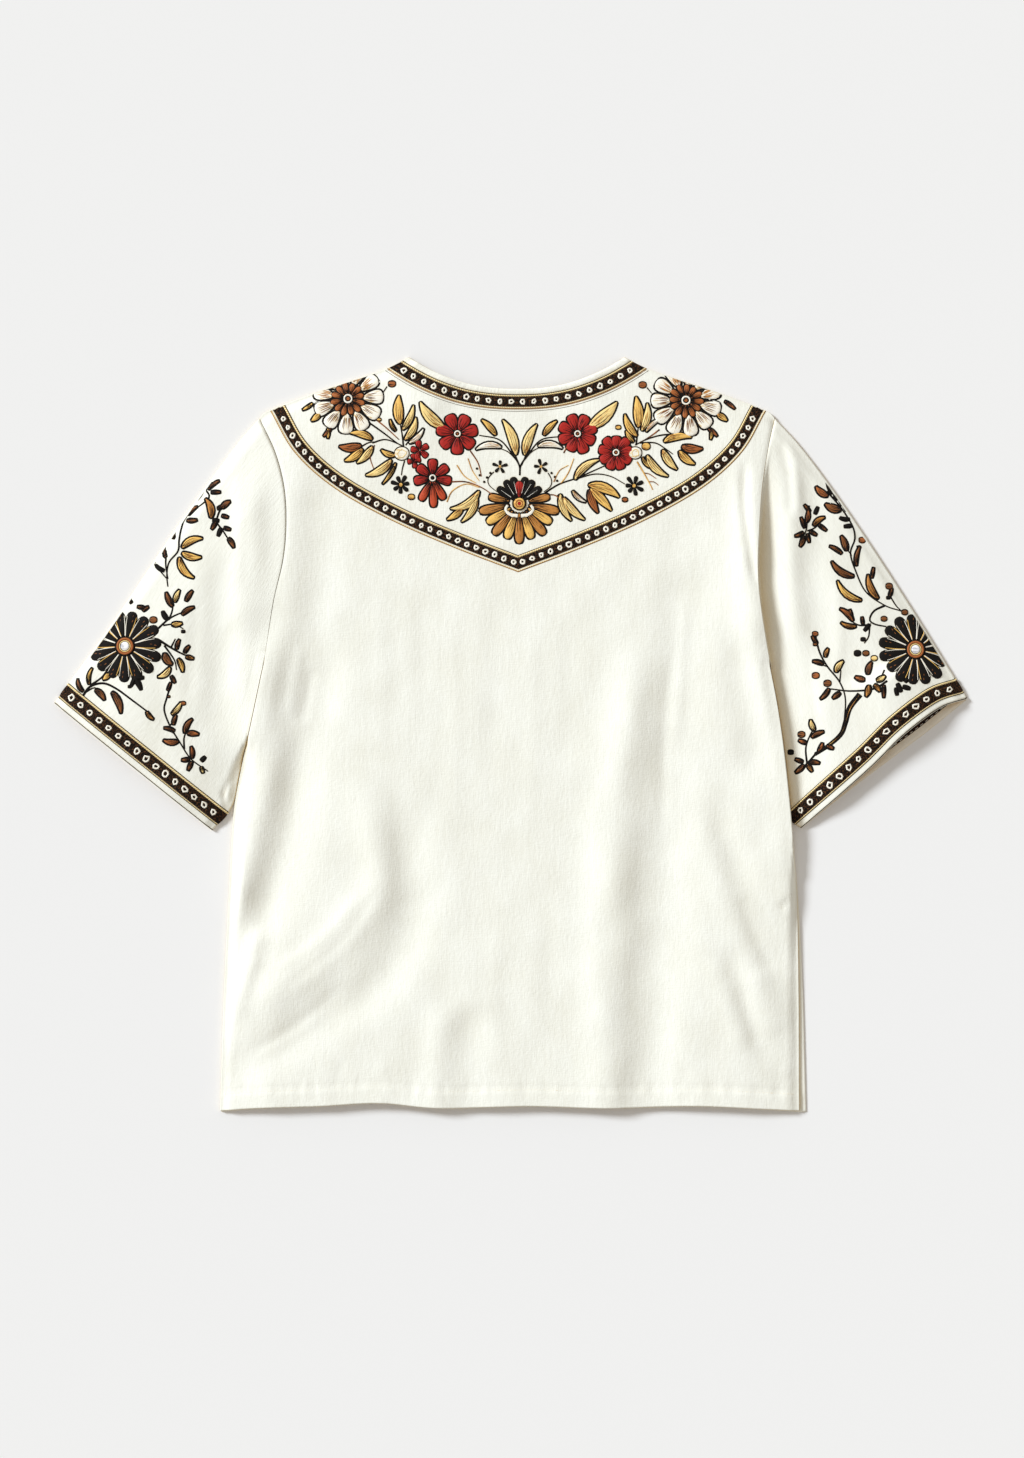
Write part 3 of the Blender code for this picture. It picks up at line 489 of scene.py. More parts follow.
def grid_faces(rows, columns, start=0, round_it=False):
    at = start + np.arange(rows * columns).reshape(rows, columns)
    if round_it:
        at = np.hstack([at, at[:, :1]])
    corners = [at[:-1, :-1], at[1:, :-1], at[1:, 1:], at[:-1, 1:]]
    return np.stack(corners, axis=2).reshape(-1, 4)


def settled(points):
    """Points on the garment, in the frame's place."""
    return np.asarray(points, float).reshape(-1, 3) - (CENTRE_ACROSS, CENTRE_UP, 0)


def mesh_object(name, points, faces, materials, uv=None, slots=None, shade=None):
    mesh = bpy.data.meshes.new(name)
    mesh.from_pydata(settled(points).tolist(), [], np.asarray(faces).tolist())
    for material in materials:
        mesh.materials.append(material)
    corner = np.zeros(len(mesh.loops), int)
    mesh.loops.foreach_get("vertex_index", corner)
    if uv is not None:
        layer = mesh.uv_layers.new(name="thread")
        layer.data.foreach_set("uv", np.asarray(uv, float).reshape(-1, 2)[corner].ravel())
    if slots is not None:
        mesh.polygons.foreach_set("material_index", np.asarray(slots, int))
    if shade is not None:
        layer = mesh.attributes.new("shade", "FLOAT", "POINT")
        layer.data.foreach_set("value", np.asarray(shade, float).ravel())
    mesh.polygons.foreach_set("use_smooth", np.ones(len(mesh.polygons), bool))
    mesh.update()
    piece = bpy.data.objects.new(name, mesh)
    bpy.context.scene.collection.objects.link(piece)
    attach(piece, "root")
    return piece


def thickened(piece, thickness=SHELL, inner=0):
    wall = piece.modifiers.new("wall", "SOLIDIFY")
    wall.thickness = thickness
    wall.offset = -1
    wall.use_rim = True
    wall.material_offset = inner
    return piece


# Materials


def link(nodes, *pairs):
    for source, target in pairs:
        nodes.id_data.links.new(source, target)


def material(name, roughness, sheen=0.0, specular=0.2):
    made = bpy.data.materials.new(name)
    made.use_nodes = True
    nodes = made.node_tree.nodes
    shader = nodes["Principled BSDF"]
    shader.inputs["Roughness"].default_value = roughness
    shader.inputs["Sheen Weight"].default_value = sheen
    shader.inputs["Sheen Roughness"].default_value = 0.5
    shader.inputs["Specular IOR Level"].default_value = specular
    return made, nodes, shader


def stretched(nodes, source, scale, detail=2.0, roughness=0.5):
    """Noise that is stretched along one direction of these coordinates."""
    place = nodes.new("ShaderNodeMapping")
    place.inputs["Scale"].default_value = scale
    grain = nodes.new("ShaderNodeTexNoise")
    grain.inputs["Scale"].default_value = 1.0
    grain.inputs["Detail"].default_value = detail
    grain.inputs["Roughness"].default_value = roughness
    link(nodes, (source, place.inputs["Vector"]), (place.outputs["Vector"], grain.inputs["Vector"]))
    return grain.outputs["Fac"]


def ramp(nodes, source, stops):
    made = nodes.new("ShaderNodeValToRGB")
    elements = made.color_ramp.elements
    for i, (place, colour) in enumerate(stops):
        element = elements[i] if i < 2 else elements.new(place)
        element.position = place
        element.color = (*colour, 1)
    link(nodes, (source, made.inputs["Fac"]))
    return made.outputs["Color"]


def maths(nodes, operation, *values):
    made = nodes.new("ShaderNodeMath")
    made.operation = operation
    for slot, value in zip(made.inputs, values):
        if isinstance(value, (int, float)):
            slot.default_value = value
        else:
            link(nodes, (value, slot))
    return made.outputs["Value"]


def bump(nodes, shader, source, strength, depth):
    made = nodes.new("ShaderNodeBump")
    made.inputs["Strength"].default_value = strength
    made.inputs["Distance"].default_value = depth
    link(nodes, (source, made.inputs["Height"]), (made.outputs["Normal"], shader.inputs["Normal"]))


# Painted shade in folds and creases: how far the ambient occlusion looks, and the tan tint it multiplies
# into the colour
CREASE_SHADE_REACH = 0.018
CREASE_SHADE_TINT = (0.83, 0.66, 0.42, 1)
# The colour sockets of a Mix node, which share their names with its other sockets
MIX_A, MIX_B, MIX_RESULT = 6, 7, 2


def painted_crease_shade(nodes, colour):
    """Painted warm shade: darkens and warms the base colour deep in folds and between the layers, wherever
    the ambient occlusion finds close surfaces.
    """
    open_sky = nodes.new("ShaderNodeAmbientOcclusion")
    open_sky.samples = 6
    open_sky.inputs["Distance"].default_value = CREASE_SHADE_REACH
    deep = nodes.new("ShaderNodeMapRange")
    deep.inputs["From Min"].default_value = 0.92
    deep.inputs["From Max"].default_value = 0.50
    link(nodes, (open_sky.outputs["AO"], deep.inputs["Value"]))
    mixed = nodes.new("ShaderNodeMix")
    mixed.data_type = "RGBA"
    mixed.blend_type = "MULTIPLY"
    mixed.inputs[MIX_B].default_value = CREASE_SHADE_TINT
    link(nodes, (deep.outputs["Result"], mixed.inputs["Factor"]), (colour, mixed.inputs[MIX_A]))
    return mixed.outputs[MIX_RESULT]


def cloth_material(name, light, dark, strength=0.55):
    """Linen blend: uneven threads both ways, with slubs."""
    made, nodes, shader = material(name, 0.86, 0.12)
    flat = nodes.new("ShaderNodeTexCoord").outputs["UV"]
    warp = stretched(nodes, flat, (1150, 160, 1), 3.0, 0.6)
    weft = stretched(nodes, flat, (160, 1150, 1), 3.0, 0.6)
    slub = stretched(nodes, flat, (300, 60, 1), 2.0)
    crinkle = stretched(nodes, flat, (330, 250, 1), 2.0, 0.55)
    blotch = stretched(nodes, flat, (26, 18, 1), 3.0)
    weave = maths(nodes, "ADD", warp, weft)
    weave = maths(nodes, "ADD", weave, slub)
    tone = maths(nodes, "MULTIPLY_ADD", weave, 0.20, maths(nodes, "MULTIPLY", blotch, 0.42))
    colour = ramp(nodes, tone, [(0.30, dark), (0.66, light)])
    # The base colour carries painted warm shade in folds, creases and between layers
    link(nodes, (painted_crease_shade(nodes, colour), shader.inputs["Base Color"]))
    bump(nodes, shader, maths(nodes, "MULTIPLY_ADD", crinkle, 1.0, weave), strength, 0.00034)
    return made


def thread_material(name, light, dark, sheen=0.25, roughness=0.55, strength=0.75):
    """Satin stitch: threads along each shape, darker towards its root."""
    made, nodes, shader = material(name, roughness, sheen)
    flat = nodes.new("ShaderNodeTexCoord").outputs["UV"]
    strands = stretched(nodes, flat, (190, 2300, 1), 2.0, 0.6)
    streaks = stretched(nodes, flat, (110, 950, 1), 2.0, 0.6)
    shade = nodes.new("ShaderNodeAttribute")
    shade.attribute_name = "shade"
    tone = maths(nodes, "MULTIPLY_ADD", maths(nodes, "SUBTRACT", streaks, 0.5), 3.0, shade.outputs["Fac"])
    colour = ramp(nodes, tone, [(0.18, dark), (0.62, light)])
    link(nodes, (colour, shader.inputs["Base Color"]))
    bump(nodes, shader, strands, strength, 0.0004)
    return made


def ribbon_material():
    """Close black ribbon with brown flecks."""
    made, nodes, shader = material("black_ribbon_weave", 0.80, 0.0, 0.12)
    flat = nodes.new("ShaderNodeTexCoord").outputs["UV"]
    rib = stretched(nodes, flat, (1500, 260, 1), 1.0)
    fleck = stretched(nodes, flat, (620, 620, 1), 3.0, 0.7)
    colour = ramp(nodes, fleck, [(0.49, srgb(14, 11, 9)), (0.68, srgb(98, 62, 35))])
    link(nodes, (colour, shader.inputs["Base Color"]))
    bump(nodes, shader, rib, 0.6, 0.0004)
    return made


def cord_material(name, light, dark):
    """Twisted metallic cord: slanting strands."""
    made, nodes, shader = material(name, 0.45, 0.2)
    flat = nodes.new("ShaderNodeTexCoord").outputs["UV"]
    turn = nodes.new("ShaderNodeMapping")
    turn.inputs["Rotation"].default_value = (0, 0, math.radians(38))
    wave = nodes.new("ShaderNodeTexWave")
    wave.inputs["Scale"].default_value = 190
    wave.inputs["Distortion"].default_value = 0.6
    link(nodes, (flat, turn.inputs["Vector"]), (turn.outputs["Vector"], wave.inputs["Vector"]))
    colour = ramp(nodes, wave.outputs["Fac"], [(0.15, dark), (0.65, light)])
    link(nodes, (colour, shader.inputs["Base Color"]))
    bump(nodes, shader, wave.outputs["Fac"], 0.5, 0.0004)
    return made


CREAM = cloth_material("cream_linen", srgb(250, 251, 243), srgb(237, 236, 223))
# The inside of the sleeves: the same linen painted warmer and darker, as painted shade
PAINTED_SHADE_INSIDE_LINEN = cloth_material("painted_shade_linen_inside", srgb(250, 245, 233), srgb(238, 227, 206), 0.8)
BAND = cloth_material("cream_binding", srgb(250, 251, 243), srgb(233, 230, 214), 0.9)
RIBBON = ribbon_material()
GILT = cord_material("gilt_cord", srgb(252, 238, 186), srgb(218, 176, 104))
INK, BLACK, RED, RUST, GOLD, PALE, IVORY, BROWN, ORANGE, GEM, TAN = range(11)
THREADS = [
    thread_material("ink_thread", srgb(20, 14, 11), srgb(9, 7, 6), 0.0, 0.85),
    thread_material("black_thread", srgb(19, 15, 12), srgb(9, 7, 6), 0.0, 0.80),
    thread_material("red_thread", srgb(176, 38, 29), srgb(80, 11, 10), 0.1),
    thread_material("rust_thread", srgb(170, 98, 48), srgb(58, 28, 13), 0.1),
    thread_material("gold_thread", srgb(244, 196, 106), srgb(164, 106, 44), 0.1),
    thread_material("pale_gold_thread", srgb(252, 222, 148), srgb(196, 138, 64), 0.1),
    thread_material("ivory_thread", srgb(252, 248, 234), srgb(216, 182, 118), 0.1),
    thread_material("brown_thread", srgb(136, 82, 40), srgb(24, 16, 11), 0.05),
    thread_material("orange_thread", srgb(194, 76, 42), srgb(104, 24, 16), 0.1),
    thread_material("gem_thread", srgb(250, 250, 252), srgb(160, 158, 168), 0.0, 0.15),
    thread_material("tan_thread", srgb(196, 134, 66), srgb(92, 52, 22), 0.0),
]
# The colour of the streaks that are sewn over each colour
STREAKS = {**dict.fromkeys((RED, RUST, GOLD, PALE, BROWN, ORANGE, TAN), INK), IVORY: TAN}


# Shells of cloth

SHOULDER_CELLS, NECK_CELLS, ARMHOLE_CELLS, SIDE_CELLS = 46, 74, 74, 130
WRAP_FOOT = 0.0011
HEM_TURN = 0.0005
FLOOR_GAP = 0.00004


def shoulder_half(start, count):
    line = SHOULDER_LINE[SHOULDER_LINE[:, 0] > start[0]]
    return spaced(np.vstack([start, line]), count)


def hem_cells(left, right, count):
    across = np.linspace(left, right, count + 1)
    return np.stack([across, np.interp(across, HEM_LINE[:, 0], HEM_LINE[:, 1])], axis=1)


def body_edges(armhole_cells, side_cells):
    left = np.vstack([along(ARMHOLE_LEFT, armhole_cells), along(SIDE_LEFT, side_cells)[1:]])
    right = np.vstack([along(ARMHOLE_RIGHT, armhole_cells), along(SIDE_RIGHT, side_cells)[1:]])
    return left, right


def make_back():
    neck = neck_line(NECKBAND_WIDTH, NECK_CELLS)
    shoulder = shoulder_half(neck[-1], SHOULDER_CELLS)
    top = np.vstack([(shoulder * (-1, 1))[::-1][:-1], neck, shoulder[1:]])
    left, right = body_edges(ARMHOLE_CELLS, SIDE_CELLS)
    hem = hem_cells(left[-1, 0], right[-1, 0], len(top) - 1)
    left[-1], right[-1] = hem[0], hem[-1]
    places = patch(top, hem, left, right)
    rows, columns = places.shape[:2]
    z = relief(places.reshape(-1, 2), True).reshape(rows, columns)
    extra = len(EDGE_SHARES)
    sewn_from = ARMHOLE_CELLS + extra
    for c in (0, -1):
        z[sewn_from:, c] = WRAP_FOOT
    joined = left_join(places[sewn_from:, 0])
    z[sewn_from:, 0] += joined * (z[sewn_from:, 2] - WRAP_FOOT)
    z[0, : SHOULDER_CELLS + extra] = WRAP_FOOT
    z[0, -SHOULDER_CELLS - extra :] = WRAP_FOOT
    z[-1, 1:-1] -= HEM_TURN
    points = np.dstack([places, z])
    back = mesh_object("back_shell", points, grid_faces(rows, columns), [CREAM], uv=places)
    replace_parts(thickened(back), "back")
    return back


def closed_sheet(name, places, top, foot, looks):
    """A flat-bottomed piece: a grid above, a grid below and a rim."""
    rows, columns = places.shape[:2]
    count = rows * columns
    upper = np.dstack([places, top])
    lower = np.dstack([places, foot])
    faces = [grid_faces(rows, columns), grid_faces(rows, columns, count)[:, ::-1]]
    at = np.arange(count).reshape(rows, columns)
    rim = np.concatenate([at[0, :-1], at[:-1, -1], at[-1, :0:-1], at[:0:-1, 0]])
    ahead = np.roll(rim, -1)
    faces.append(np.stack([rim, ahead, ahead + count, rim + count], axis=1))
    points = np.concatenate([upper.reshape(-1, 3), lower.reshape(-1, 3)])
    uv = np.concatenate([places.reshape(-1, 2), places.reshape(-1, 2)])
    return mesh_object(name, points, np.concatenate(faces), looks, uv=uv)


FRONT_SHOULDER_CELLS, FRONT_V_CELLS, FRONT_ARMHOLE_CELLS, FRONT_SIDE_CELLS = 22, 24, 30, 52
FRONT_INSET = 0.0009
FRONT_GAP = 0.0001
FRONT_EDGE_RISE = 0.0003


def front_neck(depth):
    """The right half of the front's V, that far inwards from its edge: its top and its point."""
    slope = (NECK_POINT_UP - V_NECK_UP) / NECK_HALF_WIDTH
    top = NECK_HALF_WIDTH + depth * SHOULDER_WIDENING
    return np.array([top, shoulder_up(top)]), np.array([0, V_NECK_UP - depth * math.hypot(1, slope)])


def make_front():
    """The front lies flat under the back. Its edge shows along the right side seam."""
    top, point = front_neck(NECKBAND_WIDTH)
    shoulder = shoulder_half(top, FRONT_SHOULDER_CELLS)
    arm = np.linspace(point, top, FRONT_V_CELLS + 1)
    line = np.vstack([(shoulder * (-1, 1))[::-1][:-1], (arm * (-1, 1))[::-1], arm[1:], shoulder[1:]])
    left, right = body_edges(FRONT_ARMHOLE_CELLS, FRONT_SIDE_CELLS)
    ups, widths = zip(*FRONT_SHOWS)
    shows = np.interp(right[:, 1], ups, widths)
    left[:, 0] += FRONT_INSET
    right[:, 0] += np.maximum(shows - FRONT_INSET, -FRONT_INSET)
    hem = hem_cells(left[-1, 0], right[-1, 0], len(line) - 1)
    hem[:, 1] -= FRONT_HEM_DROP
    left[-1], right[-1] = hem[0], hem[-1]
    places = patch(line, hem, left, right)
    top_z = np.full(places.shape[:2], CLOTH - FRONT_GAP)
    foot = np.full(places.shape[:2], FLOOR_GAP)
    for edge in (np.s_[0], np.s_[-1], np.s_[:, 0], np.s_[:, -1]):
        top_z[edge] -= HEM_TURN
        foot[edge] += FRONT_EDGE_RISE
    front = closed_sheet("front_shell", places, top_z, foot, [CREAM])
    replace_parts(front, "front")


BAND_EDGE_TOP, BAND_CROWN = 0.0009, 0.00055
BAND_EDGE_FOOT, BAND_BELLY = 0.0004, 0.00034


def make_front_neckband():
    """Both arms of the front's neckband, mitred at the point of the V."""
    lines = []
    for depth in np.linspace(0.0002, NECKBAND_WIDTH - SEAM_GAP, 5):
        top, point = front_neck(depth)
        arm = np.linspace(point, top, 40)
        lines.append(np.vstack([(arm * (-1, 1))[::-1], arm[1:]]))
    places = np.array(lines)
    crown = np.sin(np.linspace(0, math.pi, 5))[:, None] * np.ones(places.shape[1])
    top_z = BAND_EDGE_TOP + BAND_CROWN * crown
    foot = BAND_EDGE_FOOT - BAND_BELLY * crown
    band = closed_sheet("front_neckband_shell", places, top_z, foot, [BAND])
    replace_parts(band, "front_neckband_left", "front_neckband_right")


# The section of the back neckband: depths from the neck's edge, and lifts above the back
BAND_DEPTHS = [0.0, 0.0004, 0.0012, 0.0022, 0.0034, 0.0045, 0.0052, NECKBAND_WIDTH - 0.0003]
BAND_LIFTS = [-0.0013, -0.0003, 0.0003, 0.0005, 0.00055, 0.0005, 0.0003, -0.0001]
BAND_RUN = 0.23
BAND_WALL = 0.0010


def make_back_neckband(ground):
    """The bound edge of the back neck, rolled over at its edge."""
    places = np.array([neck_line(depth, 220) for depth in BAND_DEPTHS])
    z = ground.at(places.reshape(-1, 2)).reshape(places.shape[:2]) + np.array(BAND_LIFTS)[:, None]
    z[:, 0] = z[:, -1] = WRAP_FOOT
    run = np.linspace(0, BAND_RUN, places.shape[1])[None] * np.ones((len(BAND_DEPTHS), 1))
    uv = np.dstack([run, np.array(BAND_DEPTHS)[:, None] * np.ones(places.shape[1])])
    points = np.dstack([places, z])
    faces = grid_faces(*places.shape[:2])
    band = mesh_object("back_neckband_shell", points, faces, [BAND], uv=uv)
    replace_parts(thickened(band, BAND_WALL), "back_neckband")


SLEEVE_CELLS, SLEEVE_TOP_CELLS, SLEEVE_FLOOR_CELLS, ARC_CELLS = 96, 66, 26, 7
# The ring whose lengths place the threads of the cloth
THREAD_RING = 40
# Where the left sleeve and the body run on into each other, the gap and the fold between them nearly close
GAP_CLOSES, FOLD_CLOSES = 0.8, 0.88


def fold_arc(centre, outward, radius):
    """Points round the folded edge of a sleeve, from its upper layer to its lower one."""
    angles = np.linspace(math.pi / 2, -math.pi / 2, ARC_CELLS + 1)[1:-1]
    return [(*(centre + outward * radius * math.cos(a)), FOLD_RADIUS + radius * math.sin(a)) for a in angles]


def sleeve_layer(sleeve, cuff, cells):
    """A grid of places over one layer of a sleeve: rows from the armhole to the cuff."""
    armhole = along(sleeve.armhole, cells)
    fold, underarm = along(sleeve.fold, SLEEVE_CELLS), along(sleeve.underarm, SLEEVE_CELLS)
    u, v = np.linspace(0, 1, cells + 1), np.linspace(0, 1, SLEEVE_CELLS + 1)
    return between(armhole, along(cuff, cells), fold, underarm, u, v)


def inset(row, kept=1.0):
    """The places across one layer of a sleeve, without the folds at its two edges."""
    share = FOLD_RADIUS / np.linalg.norm(row[0] - row[-1])
    run = np.linspace(0, 1, len(row))
    at = np.linspace(share, 1 - share * kept, len(row))
    return np.stack([np.interp(at, run, row[:, k]) for k in range(2)], axis=1)


def sleeve_rings(side):
    """Rings of points round a sleeve, from the armhole to the cuff: above, underarm, below, fold."""
    sleeve = SLEEVES[side]
    away = 1 if side == "right" else -1
    over = sleeve_layer(sleeve, sleeve.cuff_above, SLEEVE_TOP_CELLS)
    under = sleeve_layer(sleeve, sleeve.cuff_below, SLEEVE_FLOOR_CELLS)
    closed = left_join(over.reshape(-1, 2)).reshape(over.shape[:2])
    over[..., 0] += away * SEAM_GAP * (1 - GAP_CLOSES * closed)
    under[..., 0] += away * SEAM_GAP
    rings = []
    for row, low in zip(over, under):
        joined = float(left_join(row[-1:])[0]) if side == "left" else 0.0
        kept = 1 - FOLD_CLOSES * joined
        across, below = inset(row, kept), inset(low)
        outward = (row[0] - row[-1]) / np.linalg.norm(row[0] - row[-1])
        top = np.column_stack([across, relief(across, False)])
        top[0, 2] = SEWN_TOP
        top[-1, 2] = SEWN_TOP + joined * (top[-2, 2] - SEWN_TOP)
        floor = [(*place, 0.0) for place in below[::-1]]
        under_fold = fold_arc(across[-1], -outward, FOLD_RADIUS * kept)
        outer_fold = fold_arc(across[0], outward, FOLD_RADIUS)
        rings.append([*top, *under_fold, *floor, *outer_fold[::-1]])
    return np.array(rings)


def make_sleeve(side):
    rings = sleeve_rings(side)
    rings[..., 2] += FLOOR_GAP
    round_it = rings.shape[1]
    middle = rings[:, : SLEEVE_TOP_CELLS + 1].mean(1)
    uv = np.dstack(np.meshgrid(run_along(rings[THREAD_RING]), run_along(middle)))
    faces = grid_faces(len(rings), round_it, round_it=True)
    if side == "right":
        faces = faces[:, ::-1]
    # The inner faces take the linen copy painted warmer and darker, as painted shade
    sleeve = mesh_object(f"sleeve_{side}_shell", rings, faces, [CREAM, PAINTED_SHADE_INSIDE_LINEN], uv=uv)
    thickened(sleeve, inner=1)
    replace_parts(sleeve, f"sleeve_{side}")
    return rings


# Sewing: shapes of thread that lie on a ground

MM = 0.001
# Lifts of the edge and the middle of these shapes above their base
OUTLINE_LIFTS = np.array([0.00008, 0.00040])
STEM_LIFTS = np.array([0.00010, 0.00055])
STREAK_LIFTS = np.array([-0.00025, 0.00012])
STREAK_WIDTHS = np.array([0.38, 0.48, 0.42, 0.28, 0.12]) * MM
FILL_FOOT = 0.00028


def petal_width(t):
    """Narrow at its root, broad and round at its tip."""
    return t**0.62 * np.sqrt(np.clip(1 - t**5, 0, 1)) / 0.83


def leaf_width(t):
    return np.sin(math.pi * t**0.82) ** 0.85


def round_width(t):
    return np.sqrt(np.clip(1 - (2 * t - 1) ** 2, 0, 1))


FORMS = {"petal": petal_width, "leaf": leaf_width, "round": round_width}


def way_of(angle):
    """The direction at this angle from the x axis."""
    return np.array([math.cos(angle), math.sin(angle)])


class Sewing:
    """Collects shapes that lie on one ground, and makes one mesh of them."""

    def __init__(self, name, ground, clip=None):
        self.name, self.ground, self.clip = name, ground, clip
        self.points, self.faces, self.uv, self.slots, self.shade = [], [], [], [], []
        self.count = 0
        self.random = random.Random(name)

    def add(self, places, lift, colour, uv, shade):
        rows, columns = places.shape[:2]
        flat = places.reshape(-1, 2)
        kept = np.zeros(len(flat), bool)
        if self.clip:
            flat, kept = self.clip(flat)
        z = self.ground.at(flat) + lift.reshape(-1)
        faces = grid_faces(rows, columns)
        faces = faces[~kept[faces].all(axis=1)]
        if not len(faces):
            return
        uv = uv + self.random.random()
        self.keep(np.column_stack([flat, z]), faces, places.reshape(-1, 2), colour, uv, shade)

    def keep(self, points, faces, plan, colour, uv, shade):
        """Adds points and faces, with the faces turned up as their plan shows."""
        a, b, c = plan[faces[len(faces) // 2][:3]]
        if np.cross(b - a, c - a) < 0:
            faces = faces[:, ::-1]
        self.points.append(points)
        self.faces.append(faces + self.count)
        self.uv.append(uv.reshape(-1, 2))
        self.shade.append(shade.reshape(-1))
        self.slots.append(np.full(len(faces), colour))
        self.count += len(points)

    def strip(self, line, widths, lifts, colour, across=5, shade=(0.3, 1.0)):
        """A shape along a line: half widths and lifts (edge, middle) for each point."""
        s = np.linspace(-1, 1, across)
        normals = sideways(line)
        places = line[:, None] + normals[:, None] * (widths[:, None] * s)[..., None]
        edge, middle = lifts
        arch = np.sqrt(np.clip(1 - s**2, 0, 1))[None]
        full = np.minimum(1, widths / max(widths.max() * 0.6, 1e-6))[:, None]
        lift = edge + (middle - edge) * arch * full
        run = run_along(line)
        uv = np.dstack([run[:, None] * np.ones(across), widths[:, None] * s])
        tone = np.linspace(*shade, len(line))[:, None] * np.ones(across)
        self.add(places, lift, colour, uv, tone)

    def ribbon(self, places, band, normals=None):
        """A band on a grid of places, across it and along it."""
        s = np.linspace(-1, 1, places.shape[1])
        arch = np.sqrt(np.clip(1 - s**2, 0, 1)) * np.ones((len(places), 1))
        lift = band.edge + (band.middle - band.edge) * arch
        run = run_along(places[:, places.shape[1] // 2])
        uv = np.dstack([run[:, None] * np.ones(len(s)), band.half_width * s * np.ones((len(places), 1))])
        tone = np.full(lift.shape, 0.9)
        if normals is None:
            self.add(places, lift, band.slot, uv, tone)
        else:
            self.add_solid(places + normals * lift[..., None], band.slot, uv, tone)

    def add_solid(self, points, colour, uv, shade):
        """A grid of points that don't need the ground."""
        faces = grid_faces(*points.shape[:2])
        points = points.reshape(-1, 3)
        self.keep(points, faces, points[:, :2], colour, uv, shade)

    def blade(self, root, tip, width, colour, form="leaf", bend=0.0, rim=1.1, high=0.95, steps=11,
              level=0.0, streaks=3):
        """A petal or leaf from root to tip, all in millimetres, with a dark outline and streaks."""
        root, tip = np.array(root, float) * MM, np.array(tip, float) * MM
        axis = tip - root
        side = np.array([-axis[1], axis[0]])
        t = (1 - np.cos(np.linspace(0, math.pi, steps))) / 2
        base, top = level * MM, (level + high) * MM

        def line_at(t):
            return root + axis * t[:, None] + side * (bend * 4 * t * (1 - t))[:, None]

        fill = max(width / 2 - 0.75 * rim, 0.27 * width) * MM
        half = fill * FORMS[form](t)
        grown = 0.6 * rim * MM / np.linalg.norm(axis)
        if rim:
            spread = rim * MM * np.clip(8 * np.sqrt(t * (1 - t)), 0, 1)
            outline = line_at(t * (1 + 2 * grown) - grown)
            self.strip(outline, half + spread, base + OUTLINE_LIFTS, INK)
        self.strip(line_at(t), half, (base + FILL_FOOT, top), colour, 7)
        if colour not in STREAKS or not streaks:
            return
        for k in range(streaks):
            place = (k + 0.5) / streaks * 2 - 1 + self.random.uniform(-0.12, 0.12)
            t = np.linspace(self.random.uniform(0.06, 0.2), self.random.uniform(0.62, 0.86), 5)
            line = line_at(t) + sideways(line_at(t)) * (place * 0.72 * fill * FORMS[form](t))[:, None]
            self.strip(line, STREAK_WIDTHS, top + STREAK_LIFTS, STREAKS[colour], 3, (0.3, 0.7))

    def stem(self, points, width=0.95, colour=INK, level=0.0, taper=0.6, shade=(0.2, 0.6)):
        line = np.array(points, float) * MM
        count = max(4, int(length_of(line) / 0.0022))
        line = along(line, count)
        widths = np.linspace(1, taper, len(line)) * width / 2 * MM
        self.strip(line, widths, level * MM + STEM_LIFTS, colour, 3, shade)

    def disc(self, centre, radius, colour, level=0.0, high=0.8, rim=1.0):
        x, y = centre
        ends = (x - radius, y), (x + radius, y)
        self.blade(*ends, 2 * radius, colour, "round", rim=rim, high=high, level=level, streaks=0)

    def ring(self, centre, radius, width, colour, level=0.0, high=0.6, rough=0.0, sides=16, stretch=1.0):
        """A closed ring of thread."""
        x, y = np.array(centre, float) * MM
        a = np.linspace(0, 2 * math.pi, sides + 1)
        r = radius * MM * (1 + rough * np.array([self.random.uniform(-1, 1) for _ in range(sides)] + [0]))
        r[-1] = r[0]
        line = np.stack([x + r * np.cos(a) * stretch, y + r * np.sin(a)], axis=1)
        outward = np.stack([np.cos(a), np.sin(a)], axis=1)
        s = np.linspace(-1, 1, 4)
        places = line[:, None] + outward[:, None] * (s * width / 2 * MM)[None, :, None]
        arch = np.array([0.0, 1.0, 1.0, 0.0])
        lift = (level + high * arch[None] * np.ones((sides + 1, 1))) * MM + 0.0001
        over = s[None] * width * MM * np.ones((sides + 1, 1))
        uv = np.dstack([a[:, None] * radius * MM * np.ones(4), over])
        self.add(places, lift, colour, uv, np.full((sides + 1, 4), 0.9))

    def petal(self, centre, degrees, near, far, width, colour, rim, level=0.0):
        """A petal that points this way from the centre of its flower."""
        way = way_of(math.radians(degrees))
        self.blade(centre + way * near, centre + way * far, width, colour, "petal", rim=rim, level=level)

    def flower(self, centre, petals, inner, outer, width, colour, turn=0.0, rim=0.8, jitter=0.05,
               level=0.0, streaks=3):
        for k in range(petals):
            reach = outer * (1 + self.random.uniform(-jitter, jitter))
            way = way_of(math.radians(turn) + 2 * math.pi * k / petals)
            root, tip = centre + way * inner, centre + way * reach
            self.blade(root, tip, width, colour, "petal", rim=rim, level=level, streaks=streaks)

    def finish(self, looks=THREADS):
        parts = (self.points, self.faces, self.uv, self.slots, self.shade)
        points, faces, *rest = (np.concatenate(part) for part in parts)
        return mesh_object(self.name, points, faces, looks, *rest)


# How far the embroidery stays from the shoulder seams and from the sleeves' folds
FROM_SHOULDER, FROM_FOLD = 0.0009, 0.0022


def inside_yoke(points):
    """Keeps places on the back side of the shoulder seam."""
    limit = shoulder_up(points[:, 0]) - FROM_SHOULDER
    cut = points[:, 1] > limit
    return np.column_stack([points[:, 0], np.minimum(points[:, 1], limit)]), cut


